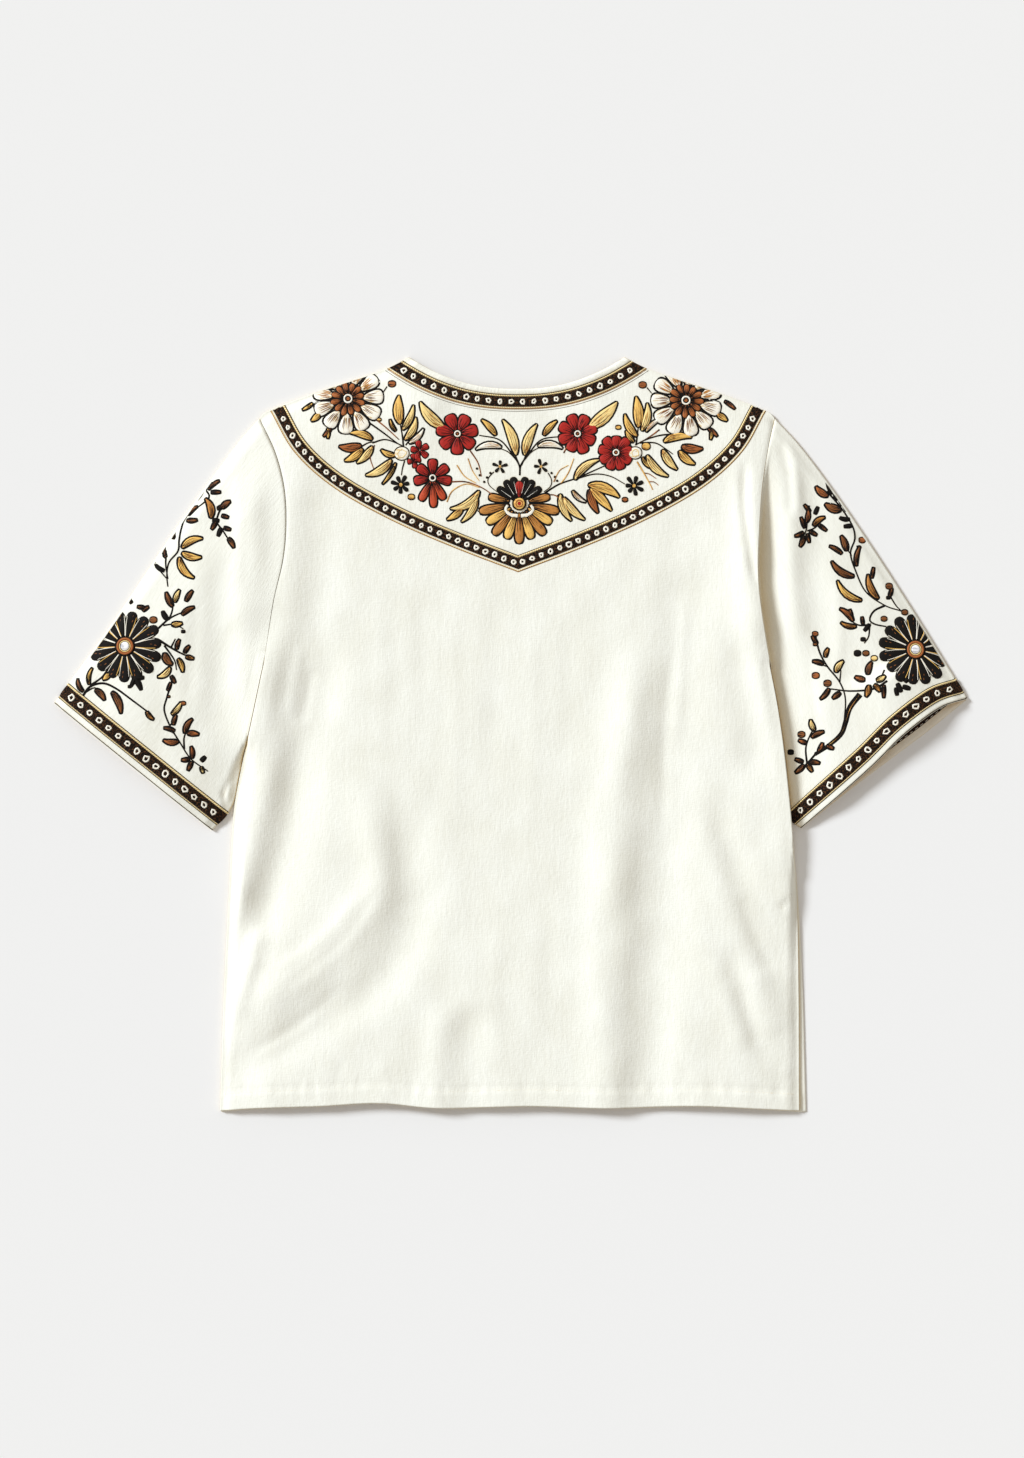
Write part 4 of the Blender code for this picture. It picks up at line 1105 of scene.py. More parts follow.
def inside_sleeve(side):
    fold = along(SLEEVES[side].fold, 60)
    sign = -1 if side == "left" else 1

    def clip(points):
        limit = sign * np.interp(points[:, 1], fold[::-1, 1], fold[::-1, 0]) - FROM_FOLD
        out = sign * points[:, 0] > limit
        return np.column_stack([sign * np.minimum(sign * points[:, 0], limit), points[:, 1]]), out

    return clip


# Trims
BRONZE = thread_material("bronze_thread", srgb(150, 102, 48), srgb(92, 56, 24), 0.0)
TRIM_LOOKS = [RIBBON, GILT, THREADS[IVORY], BRONZE, THREADS[INK]]
RIBBON_SLOT, GILT_SLOT, IVORY_SLOT, BRONZE_SLOT, INK_SLOT = range(5)
# A band of a trim: its offset from the middle of the ribbon, its half width, the lifts of its edge and its
# middle, its material slot, and how many points there are across it
Band = namedtuple("Band", "offset half_width edge middle slot across")
RIBBON_ACROSS, CORD_ACROSS, LINE_ACROSS = 9, 5, 3
# Ring dots: spacing in metres, radius in millimetres
YOKE_RINGS, NECK_RINGS, CUFF_RINGS = (0.0089, 1.9), (0.0104, 1.95), (0.0113, 2.4)
RING_THREAD = 1.75
# Level, height and roughness of a ring dot
RING_FORM = (0.70, 0.70, 0.26)
YOKE_SHIFT = 0.0010
YOKE_RUN_ON = 0.014
YOKE_END_GAP = 0.0006
YOKE_RIBBON, NECK_RIBBON = 0.0047, 0.0045
NECK_RIBBON_MIDDLE = 0.0115
# The stitched line of the neck's facing: depths from the neck's edge, and slots
FACING_LINES = [(0.0187, BRONZE_SLOT), (0.0204, INK_SLOT)]
FACING_THREAD, FACING_LIFTS = 0.00020, (0.00002, 0.00022)


def bands_of(half, cord, line, outer):
    """The bands of a trim. The cord lies on its inner side, and outer is the slot of its outermost line."""
    return [
        Band(0.0, half, 0.00030, 0.00085, RIBBON_SLOT, RIBBON_ACROSS),
        Band(half + cord + 0.0002, cord, 0.00020, 0.00110, GILT_SLOT, CORD_ACROSS),
        Band(half + 2 * cord + 0.0005, 0.00036, 0.00012, 0.00050, INK_SLOT, LINE_ACROSS),
        Band(-half - line, 0.00034, 0.00015, 0.00055, GILT_SLOT, CORD_ACROSS),
        Band(-half - line - 0.00062, 0.00036, 0.00012, 0.00045, outer, LINE_ACROSS),
    ]


def rows_of(line_at, band):
    """A grid of places for a band, from the lines that run along the trim."""
    offsets = band.offset + np.linspace(-1, 1, band.across) * band.half_width
    return np.stack([line_at(offset) for offset in offsets], axis=1)


def rings_on(sewing, line, spacing, radius):
    """White ring dots on a ribbon, each a little different."""
    count = round(length_of(line) / spacing)
    places = spaced(line, count * 2)[1::2] / MM
    for place in places:
        size = radius * sewing.random.uniform(0.90, 1.08)
        stretch = sewing.random.uniform(0.88, 1.08)
        sides = sewing.random.choice((5, 6, 7, 9))
        sewing.ring(place, size, RING_THREAD, IVORY_SLOT, *RING_FORM, sides, stretch)


def yoke_line(offset, count=150):
    """The yoke trim's line at this distance from its middle, mitred at the point of the V."""
    half = along(YOKE, 300)
    ahead = half[-1] - half[-2]
    half = spaced(np.vstack([half, half[-1] + ahead / np.linalg.norm(ahead) * YOKE_RUN_ON]), 300)
    normals = sideways(half)
    normals[0] = (0, 1 / normals[0][1])
    right = half + normals * offset
    right = right[right[:, 1] < shoulder_up(right[:, 0]) - YOKE_END_GAP]
    right = spaced(right, count)
    return np.vstack([(right * (-1, 1))[::-1][:-1], right]) + (YOKE_SHIFT, 0)


def make_yoke_trim(ground):
    sewing = Sewing("yoke_trim_ribbon", ground)
    for band in bands_of(YOKE_RIBBON, 0.0008, 0.0015, BRONZE_SLOT):
        sewing.ribbon(rows_of(yoke_line, band), band)
    rings_on(sewing, yoke_line(0)[4:-4], *YOKE_RINGS)
    piece = sewing.finish(TRIM_LOOKS)
    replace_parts(piece, "yoke_trim")


def make_neck_trim(ground):
    """The trim of the neck, with the stitched line of the facing below it."""

    def line_at(offset):
        return neck_line(NECK_RIBBON_MIDDLE + offset, 150) - (0, 0.0004)

    sewing = Sewing("back_neck_trim_ribbon", ground)
    for band in bands_of(NECK_RIBBON, 0.0006, 0.0009, BRONZE_SLOT):
        turned = band._replace(offset=-band.offset)
        sewing.ribbon(rows_of(line_at, turned), turned)
    rings_on(sewing, line_at(0)[3:-3], *NECK_RINGS)
    for depth, slot in FACING_LINES:
        line = neck_line(depth, 150)[1:-1]
        sewing.strip(line, np.full(len(line), FACING_THREAD), FACING_LIFTS, slot, 3)
    piece = sewing.finish(TRIM_LOOKS)
    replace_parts(piece, "back_neck_trim")


# Middle of the ribbon from the cuff's edge, and its half width
CUFF_RIBBON = {"left": (0.0141, 0.0060), "right": (0.0134, 0.0056)}
WRAP_CELLS = 4
# The ribbon inside the right cuff, and its stitches
INSIDE_HALF, INSIDE_SHIFT, INSIDE_LIFT = 0.0055, 0.0006, 0.0001
INSIDE_STITCHES, STITCH_PLACE, STITCH_LIFT = 60, (0, 0.0009), 0.0006
STITCH_SIDE = (0.0001, 0.0005)


def cuff_rows(rings, columns, depths):
    """Places on a sleeve at these depths from its cuff, along these columns of its rings."""
    strands = rings[::-1][:, columns]
    steps = np.linalg.norm(np.diff(strands, axis=0), axis=2)
    run = np.vstack([np.zeros(len(columns)), np.cumsum(steps, axis=0)])
    rows = []
    for c in range(len(columns)):
        rows.append(np.stack([np.interp(depths, run[:, c], strands[:, c, k]) for k in range(3)], axis=1))
    return np.array(rows)


def normals_of(places):
    along_it = np.gradient(places, axis=0)
    across_it = np.gradient(places, axis=1)
    normals = np.cross(along_it, across_it)
    normals /= np.maximum(np.linalg.norm(normals, axis=2), 1e-12)[..., None]
    return normals * np.sign(normals[len(normals) // 2, 0, 2])


def make_cuff_trim(side, rings, ground):
    """The trim at a cuff, which follows the sleeve over its folded edges."""
    sewing = Sewing(f"cuff_trim_{side}_ribbon", ground)
    middle, half = CUFF_RIBBON[side]
    columns = [*range(-WRAP_CELLS, 0), *range(SLEEVE_TOP_CELLS + WRAP_CELLS + 1)]
    edge = Band(0.0008 - middle, 0.00034, 0.00012, 0.00045, INK_SLOT, LINE_ACROSS)
    for band in [*bands_of(half, 0.0008, 0.0007, INK_SLOT), edge]:
        depths = middle + band.offset + np.linspace(-1, 1, band.across) * band.half_width
        places = cuff_rows(rings, columns, depths)
        sewing.ribbon(places, band, normals_of(places))
    line = cuff_rows(rings, range(1, SLEEVE_TOP_CELLS), [middle])[:, 0, :2]
    rings_on(sewing, line, *CUFF_RINGS)
    if side == "right":
        start = SLEEVE_TOP_CELLS + ARC_CELLS
        columns = range(start + 1, start + SLEEVE_FLOOR_CELLS)
        back = Band(0, INSIDE_HALF, 0.0001, 0.0002, RIBBON_SLOT, LINE_ACROSS)
        depths = middle - INSIDE_SHIFT + np.array([-INSIDE_HALF, 0, INSIDE_HALF])
        places = cuff_rows(rings, columns, depths)
        places[..., 2] = SHELL + INSIDE_LIFT
        sewing.ribbon(places, back, np.array([0, 0, 1.0]))
        stitched = spaced(places[:, 0, :2], INSIDE_STITCHES)
        for k in range(0, INSIDE_STITCHES, 2):
            dash = stitched[k : k + 2] + STITCH_PLACE
            plan = np.stack([dash, dash + STITCH_SIDE], axis=1)
            points = np.dstack([plan, np.full((2, 2), SHELL + STITCH_LIFT)])
            sewing.add_solid(points, IVORY_SLOT, np.zeros((2, 2, 2)), np.full((2, 2), 0.9))
    piece = sewing.finish(TRIM_LOOKS)
    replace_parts(piece, f"cuff_trim_{side}")


# Embroidery on the yoke, in millimetres. Leaves: root x and y, tip x and y, width, colour, bend
STEM_WIDENING = 1.75
YOKE_LEAVES = [
    # left spray beside the daisy
    (-105, 617, -106, 643, 10.5, GOLD, 0.05), (-103, 612, -93, 634, 7.5, PALE, -0.08),
    (-101, 603, -91, 623, 8.0, PALE, -0.12), (-97, 600, -84, 613, 6.5, IVORY, -0.10),
    (-109, 611, -114, 621, 4.5, GOLD, 0.08), (-140, 598, -160, 597, 9.0, RUST, 0.10),
    (-130, 603, -150, 609, 8.0, GOLD, -0.10), (-139, 595, -155, 584, 8.5, GOLD, 0.10),
    (-130, 597, -144, 582, 8.0, PALE, 0.08), (-113, 585, -136, 571, 9.0, PALE, 0.12),
    (-109, 582, -121, 563, 4.6, GOLD, 0.06), (-109, 589, -122, 594, 6.5, GOLD, 0.12),
    # leaf of the left red flower
    (-65, 614, -87, 637, 11.5, PALE, 0.10),
    # left of the middle
    (-34, 557, -60, 541, 9.0, PALE, 0.16), (-36, 551, -50, 529, 8.0, PALE, 0.10),
    (-49, 541, -63, 531, 7.5, GOLD, 0.06),
    # middle, above the large flower
    (-1, 589, -13, 621, 10.0, PALE, -0.08), (7, 589, 18, 617, 9.5, PALE, 0.08),
    (-19, 607, -32, 621, 7.0, GOLD, -0.06), (24, 607, 36, 620, 7.0, GOLD, 0.06),
    (-14, 596, -37, 594, 7.5, IVORY, -0.14), (19, 597, 41, 595, 7.5, IVORY, 0.14),
    # leaf of the right red flower
    (64, 614, 90, 637, 13.0, PALE, -0.06),
    # right of the middle
    (39, 554, 49, 530, 8.0, PALE, -0.10), (42, 551, 61, 531, 8.5, PALE, -0.08),
    (52, 567, 74, 585, 8.5, PALE, 0.12), (50, 557, 62, 547, 5.5, IVORY, -0.10),
    (64, 562, 92, 551, 10.5, GOLD, 0.10), (66, 559, 85, 539, 9.5, GOLD, 0.02),
    (65, 558, 73, 537, 8.5, RUST, -0.06),
    # right spray beside the daisy
    (109, 614, 107, 642, 10.5, GOLD, -0.04), (108, 606, 97, 626, 8.0, GOLD, 0.10),
    (112, 611, 117, 636, 8.5, PALE, -0.10), (116, 610, 131, 622, 5.5, IVORY, 0.10),
    (105, 601, 98, 611, 6.0, GOLD, 0.06), (148, 597, 167, 595, 9.0, RUST, -0.08),
    (132, 601, 157, 605, 8.5, GOLD, 0.12), (146, 593, 160, 581, 8.5, GOLD, -0.10),
    (131, 594, 144, 576, 8.5, PALE, -0.08), (117, 589, 136, 570, 8.5, PALE, -0.12),
    (113, 587, 119, 578, 5.0, GOLD, -0.06),
    # buds outside the daisies
    (-184, 636, -193, 630, 4.5, GOLD, 0.04), (-177, 627, -185, 620, 7.0, GOLD, 0.04),
    (-167, 614, -174, 606, 5.0, RUST, 0.04), (-170, 613, -170, 604, 4.5, GOLD, 0.04),
    (187, 638, 196, 631, 4.5, RUST, 0.04), (180, 626, 189, 620, 7.0, GOLD, 0.04),
    (172, 613, 180, 606, 5.0, RUST, 0.04), (175, 612, 174, 603, 4.5, GOLD, 0.04),
]
# Stems of the yoke: width, colour, points, in millimetres
YOKE_STEMS = [
    (1.0, INK, [(-134, 619), (-120, 609), (-108, 600), (-101, 596)]),
    (0.8, RUST, [(-128, 622), (-118, 614), (-106, 603)]),
    (0.9, INK, [(-130, 600), (-118, 603), (-104, 598)]),
    (0.9, INK, [(-141, 596), (-134, 600), (-128, 601)]),
    (0.7, RUST, [(-128, 598), (-132, 588), (-129, 577)]),
    (0.8, INK, [(-101, 584), (-103, 577), (-104, 571)]),
    (1.0, INK, [(-102, 596), (-103, 606), (-105, 617)]), (0.8, INK, [(-100, 598), (-97, 602), (-93, 606)]),
    (0.8, RUST, [(-60, 565), (-46, 565), (-32, 560), (-20, 552)]),
    (0.7, GOLD, [(-63, 547), (-58, 557), (-46, 563), (-34, 560)]),
    (0.7, GOLD, [(-54, 580), (-47, 570), (-37, 564)]), (0.6, GOLD, [(-44, 586), (-40, 575), (-34, 566)]),
    (0.8, RUST, [(-42, 593), (-35, 582), (-32, 570)]),
    (1.0, INK, [(2.5, 571), (2.0, 580), (-5, 591), (-16, 603), (-34, 607)]),
    (1.0, INK, [(2.5, 571), (3.5, 580), (11, 591), (22, 603), (40, 606)]),
    (0.9, INK, [(2, 580), (-1, 588), (-2, 592)]), (0.9, INK, [(4, 580), (7, 587), (8, 591)]),
    (0.7, INK, [(0, 584), (-8, 592), (-18, 596)]), (0.7, INK, [(6, 584), (13, 592), (22, 597)]),
    (0.6, INK, [(-33, 553), (-38, 545), (-34, 538), (-26, 541)]),
    (0.6, INK, [(36, 553), (42, 546), (38, 538), (30, 541)]),
    (0.6, INK, [(-21, 574), (-26, 568), (-25, 562), (-18, 556)]),
    (0.6, INK, [(28, 573), (31, 567), (30, 561), (24, 556)]),
    (1.0, INK, [(25, 555), (38, 563), (55, 569), (80, 580)]),
    (0.8, RUST, [(26, 553), (34, 553), (42, 547)]),
    (0.8, INK, [(54, 568), (70, 572), (84, 570), (97, 563)]),
    (0.7, GOLD, [(39, 563), (46, 573), (51, 586)]), (0.6, GOLD, [(33, 565), (38, 575), (46, 580)]),
    (0.8, RUST, [(42, 591), (45, 597), (48, 600)]),
    (1.0, INK, [(147, 608), (130, 607), (116, 603), (106, 598)]),
    (0.9, INK, [(110, 600), (124, 600), (133, 595), (140, 590)]),
    (0.8, RUST, [(128, 612), (120, 606), (110, 600)]),
    (0.9, GOLD, [(108, 583), (114, 573), (119, 564), (122, 558)]),
    (0.6, RUST, [(114, 573), (119, 572), (125, 568)]), (0.6, RUST, [(118, 565), (123, 565), (127, 562)]),
    (1.0, INK, [(107, 598), (108, 606), (109, 615)]), (0.7, INK, [(-117, 651), (-121, 645)]),
    (0.7, INK, [(117, 650), (121, 645)]),
]
# Berries: x, y, radius, colour
YOKE_BERRIES = [
    (-103.5, 590.5, 6.4, IVORY), (106.2, 591.0, 5.8, IVORY), (116.0, 597.0, 3.6, GOLD),
    (-95.0, 551.5, 2.8, GOLD), (97.0, 549.0, 2.4, RUST), (-112.5, 653.5, 3.2, RUST),
    (113.0, 652.5, 3.2, RUST), (91.0, 614.0, 2.2, GOLD), (-124.0, 621.0, 1.7, GOLD),
]
# Dots: x, y
YOKE_DOTS = [
    (-24, 573), (-27, 569), (-29.5, 565), (31, 573), (34, 569.5), (36, 566), (-36, 577), (-33.5, 571),
]
YOKE_DOT_RADIUS = 1.1


def daisy(sewing, x, y, turn):
    centre = np.array([x, y])
    petals = 11
    sewing.flower(centre, petals, 13.0, 32.0, 16.4, IVORY, turn, rim=1.65, jitter=0.03, streaks=0)
    for k in range(petals):
        middle = math.radians(turn) + 2 * math.pi * k / petals
        upper = math.sin(middle) > 0.2
        for spread in (-0.13, -0.07, 0, 0.07, 0.13):
            way = way_of(middle + spread + sewing.random.uniform(-0.015, 0.015))
            ends = centre + way * sewing.random.uniform(15, 18), centre + way * sewing.random.uniform(23, 29)
            wide = sewing.random.uniform(0.9, 1.3) if upper else sewing.random.uniform(0.6, 0.9)
            colour = TAN if upper else BROWN
            sewing.blade(*ends, wide, colour, rim=0, high=0.35, steps=6, level=0.75, streaks=0)
    sewing.flower(centre, 12, 4.5, 15.2, 7.0, RUST, turn + 9, rim=1.3, jitter=0.06, level=0.35)
    sewing.disc(centre, 4.9, INK, 0.6, 0.8)
    sewing.ring(centre, 3.4, 1.6, IVORY, 1.1, 0.5)
    sewing.disc(centre, 1.5, RUST, 1.2, 0.5, rim=0)


def red_flower(sewing, x, y, petals, outer, turn):
    centre = np.array([x, y])
    sewing.flower(centre, petals, 3.2, outer, outer * 0.72, RED, turn, 1.5, 0.06)
    sewing.disc(centre, 3.4, INK, 0.5, 0.7)
    sewing.ring(centre, 2.4, 1.3, IVORY, 0.95, 0.5)
    sewing.disc(centre, 0.9, RUST, 1.0, 0.5, rim=0)


def floret(sewing, x, y, petals, outer, turn):
    centre = np.array([x, y])
    sewing.flower(centre, petals, 1.2, outer, outer * 0.5, BLACK, turn, 0.3, 0.14)
    sewing.disc(centre, outer * 0.18, GOLD, 0.8, 0.5, rim=0)


def large_flower(sewing):
    """The flower in the middle: black petals above, gold ones below, a collar between."""
    centre = np.array([2.0, 546.0])
    for k, a in enumerate(np.linspace(-168, -12, 9)):
        colour, reach = (GOLD, 34.0) if k % 2 else (TAN, 36.5)
        sewing.petal(centre, a, 9, reach, 10.6, colour, 1.6)
    for a in (168, 12):
        sewing.petal(centre, a, 9, 28, 9, TAN, 1.5)
    for a in (145, 122, 104, 76, 58, 35):
        way = way_of(math.radians(a))
        sewing.petal(centre, a, 5, 24, 8.2, BLACK, 0.5, 0.3)
        sewing.stem([centre + way * 9, centre + way * 20], 0.5, IVORY, 1.15, 0.4, (0.9, 0.9))
    up = np.array([0, 1.0])
    sewing.blade(centre + up * 5, centre + up * 19.5, 9.4, RED, "petal", rim=1.0, level=1.0)
    for sign in (-1, 1):
        curl = [(2 + sign * x, y) for x, y in ((1.5, 534.5), (8, 535.5), (12.5, 540), (10.5, 544))]
        sewing.stem(curl, 4.6, INK, 0.45, 0.75)
        sewing.stem(curl, 3.2, IVORY, 0.75, 0.7, (0.9, 0.9))
    heart = centre - (0, 0.5)
    sewing.disc(heart, 5.8, INK, 0.8, 0.7)
    sewing.disc(heart, 5.0, GOLD, 1.1, 0.8, rim=0)
    sewing.ring(heart, 3.0, 1.1, RUST, 1.75, 0.35)
    sewing.disc(heart, 1.6, RED, 1.8, 0.4, rim=0)


def make_yoke_embroidery(ground):
    sewing = Sewing("yoke_embroidery", ground, inside_yoke)
    for width, colour, points in YOKE_STEMS:
        sewing.stem(points, width * STEM_WIDENING, colour)
    for x0, y0, x1, y1, width, colour, bend in YOKE_LEAVES:
        sewing.blade((x0, y0), (x1, y1), width, colour, "leaf", bend, rim=1.5)
    daisy(sewing, -152, 640, 4)
    daisy(sewing, 152, 638.5, 17)
    red_flower(sewing, -53.5, 608.3, 7, 18.8, 12)
    red_flower(sewing, 54.5, 608.3, 8, 17.5, 20)
    red_flower(sewing, 89, 591.3, 9, 15.5, 8)
    poppy = np.array([-75.8, 568.5])
    for a in (90, 38, 142, 190, -10):
        sewing.petal(poppy, a, 3, 17, 10.8, RED, 1.5)
    for a, reach in ((-62, 22), (-88, 26.5), (-118, 23)):
        sewing.petal(poppy, a, 3, reach, 9.2, ORANGE, 1.5)
    sewing.disc(poppy, 3.6, INK, 0.5, 0.7)
    sewing.ring(poppy, 2.5, 1.3, IVORY, 0.95, 0.5)
    sewing.flower(np.array([-87.3, 593.5]), 5, 1.0, 8.2, 6.8, RED, 30, 1.0, 0.1, streaks=2)
    sewing.flower(np.array([-92.5, 584.0]), 4, 0.5, 6.0, 6.0, RED, 10, 1.0, 0.1, streaks=2)
    large_flower(sewing)
    for x, y, radius, colour in YOKE_BERRIES:
        sewing.disc((x, y), radius, colour, 0.1, 0.9)
        if radius > 5:
            sewing.ring((x, y), radius * 0.55, 0.7, PALE, 0.85, 0.3, 0.2)
    for x, y in YOKE_DOTS:
        sewing.disc((x, y), YOKE_DOT_RADIUS, INK, 0, 0.5, rim=0)
    floret(sewing, -104.4, 562.4, 7, 8.6, 10)
    floret(sewing, 105.2, 561.5, 7, 8.6, 24)
    floret(sewing, -15.4, 578.8, 5, 6.4, 15)
    floret(sewing, 21.6, 578.8, 5, 6.4, 33)
    sewing.finish()


# Embroidery on the sleeves, in the same columns as on the yoke
LEFT_LEAVES = [
    (-279, 558, -267, 567, 5.5, BROWN, 0.08), (-276, 556, -266, 556, 4.0, BROWN, 0.0),
    (-284, 556, -290, 549, 4.5, BLACK, 0.05), (-275, 531, -281, 552, 8.5, RUST, -0.14),
    (-293, 541, -302, 536, 5.0, BROWN, 0.05), (-297, 535, -287, 544, 6.0, BROWN, 0.10),
    (-298, 531, -287, 531, 5.5, BROWN, -0.06), (-266, 541, -257, 548, 7.0, RUST, 0.10),
    (-270, 541, -262, 546, 4.5, BROWN, -0.10), (-271, 530, -275, 522, 5.0, BROWN, 0.05),
    (-266, 535, -259, 533, 4.0, BROWN, 0.0), (-268, 530, -274, 531, 3.5, BLACK, 0.0),
    (-264, 524, -257, 522, 4.0, BROWN, 0.0), (-266, 524, -269, 516, 4.0, BLACK, 0.0),
    (-260, 515, -254, 505, 6.0, BROWN, 0.06), (-303, 505, -281, 515, 8.5, GOLD, 0.14),
    (-303, 502, -282, 497, 8.5, GOLD, -0.10), (-305, 499, -289, 477, 8.5, GOLD, -0.16),
    (-310, 514, -309, 520, 4.0, BROWN, 0.0), (-316, 497, -318, 507, 4.5, BROWN, 0.10),
    (-317, 485, -326, 491, 3.0, BLACK, 0.08), (-309, 452, -316, 467, 6.5, BROWN, 0.06),
    (-308, 456, -303, 469, 6.5, RUST, 0.05), (-298, 457, -291, 468, 6.0, BROWN, 0.05),
    (-302, 445, -289, 453, 6.0, BROWN, 0.08), (-311, 437, -300, 438, 6.5, GOLD, -0.05),
    (-314, 441, -319, 449, 5.0, BLACK, 0.05), (-335, 452, -342, 453, 4.0, BROWN, 0.0),
    (-337, 449, -331, 453, 4.5, BROWN, 0.05), (-347, 456, -350, 461, 3.6, BROWN, 0.0),
    (-306, 414, -303, 424, 4.5, BROWN, 0.06), (-299, 411, -294, 418, 4.5, BROWN, 0.06),
    (-298, 408, -290, 406, 5.0, RUST, 0.0), (-305, 407, -300, 393, 6.5, GOLD, 0.08),
    (-317, 412, -309, 400, 8.5, RUST, -0.16), (-311, 399, -324, 389, 7.5, RUST, 0.16),
    (-311, 391, -307, 384, 4.0, BROWN, 0.0), (-314, 377, -311, 385, 3.4, RUST, 0.0),
    (-311, 355, -301, 368, 6.5, RUST, -0.08), (-309, 346, -306, 356, 5.0, BROWN, 0.05),
    (-299, 338, -291, 353, 6.5, BROWN, 0.12), (-297, 339, -285, 338, 6.5, RUST, 0.04),
    (-303, 332, -319, 333, 7.0, RUST, 0.12), (-307, 341, -318, 344, 4.5, BROWN, -0.06),
    (-292, 316, -293, 328, 5.5, RUST, -0.08), (-294, 316, -302, 315, 5.0, BROWN, 0.05),
    (-292, 314, -296, 305, 5.0, BROWN, 0.0), (-284, 314, -280, 318, 4.0, BLACK, 0.0),
    (-284, 309, -282, 303, 4.0, RUST, 0.0), (-390, 376, -396, 389, 5.0, RUST, 0.12),
    (-385, 382, -382, 399, 4.5, GOLD, 0.12), (-380, 379, -370, 368, 7.0, BROWN, 0.10),
    (-365, 378, -355, 355, 8.0, RUST, 0.10), (-333, 359, -326, 351, 5.0, RUST, -0.10),
    (-346, 392, -337, 377, 6.0, BLACK, 0.06), (-343, 389, -335, 389, 4.5, BLACK, 0.0),
    (-342, 391, -347, 381, 3.5, BLACK, 0.0), (-366, 394, -373, 387, 7.0, GOLD, 0.08),
]
LEFT_STEMS = [
    (0.9, INK, [(-281, 559), (-277, 552), (-284, 545), (-292, 540)]),
    (1.0, INK, [(-294, 541), (-301, 528), (-304, 514), (-305, 503), (-313, 493), (-315, 482), (-314, 471)]),
    (0.9, INK, [(-316, 503), (-316, 490), (-314, 478)]),
    (0.8, INK, [(-328, 493), (-321, 485), (-315, 478)]),
    (1.0, INK, [(-263, 547), (-268, 538), (-270, 529), (-265, 522), (-258, 511)]),
    (1.0, INK, [(-325, 431), (-314, 441), (-305, 446), (-296, 449)]),
    (0.9, INK, [(-313, 441), (-310, 449), (-309, 458)]),
    (0.8, INK, [(-318, 436), (-308, 437), (-300, 433)]),
    (1.1, INK, [(-322, 423), (-311, 416), (-302, 411), (-295, 408)]),
    (0.9, INK, [(-311, 416), (-307, 424)]), (0.9, INK, [(-317, 418), (-308, 405), (-306, 396)]),
    (0.8, INK, [(-320, 407), (-327, 404)]),
    (0.9, INK, [(-309, 390), (-312, 380), (-315, 370), (-317, 360), (-312, 346),
                (-303, 331), (-293, 316), (-278, 305)]),
    (0.9, INK, [(-299, 325), (-299, 336), (-294, 345)]), (0.8, INK, [(-312, 346), (-306, 352)]),
    (1.1, INK, [(-391, 372), (-384, 381), (-372, 384), (-360, 379), (-346, 369), (-330, 357)]),
    (0.8, INK, [(-388, 376), (-380, 380), (-374, 376)]),
    (1.0, INK, [(-384, 382), (-374, 389), (-368, 397)]), (0.8, INK, [(-308, 339), (-315, 343)]),
]
LEFT_BERRIES = [
    (-327, 441, 4.0, BROWN), (-300, 430.5, 1.8, BLACK), (-300, 366, 2.6, RUST), (-318, 448, 1.4, BLACK),
    (-348, 381, 1.6, BLACK), (-313, 372, 1.2, BROWN),
]
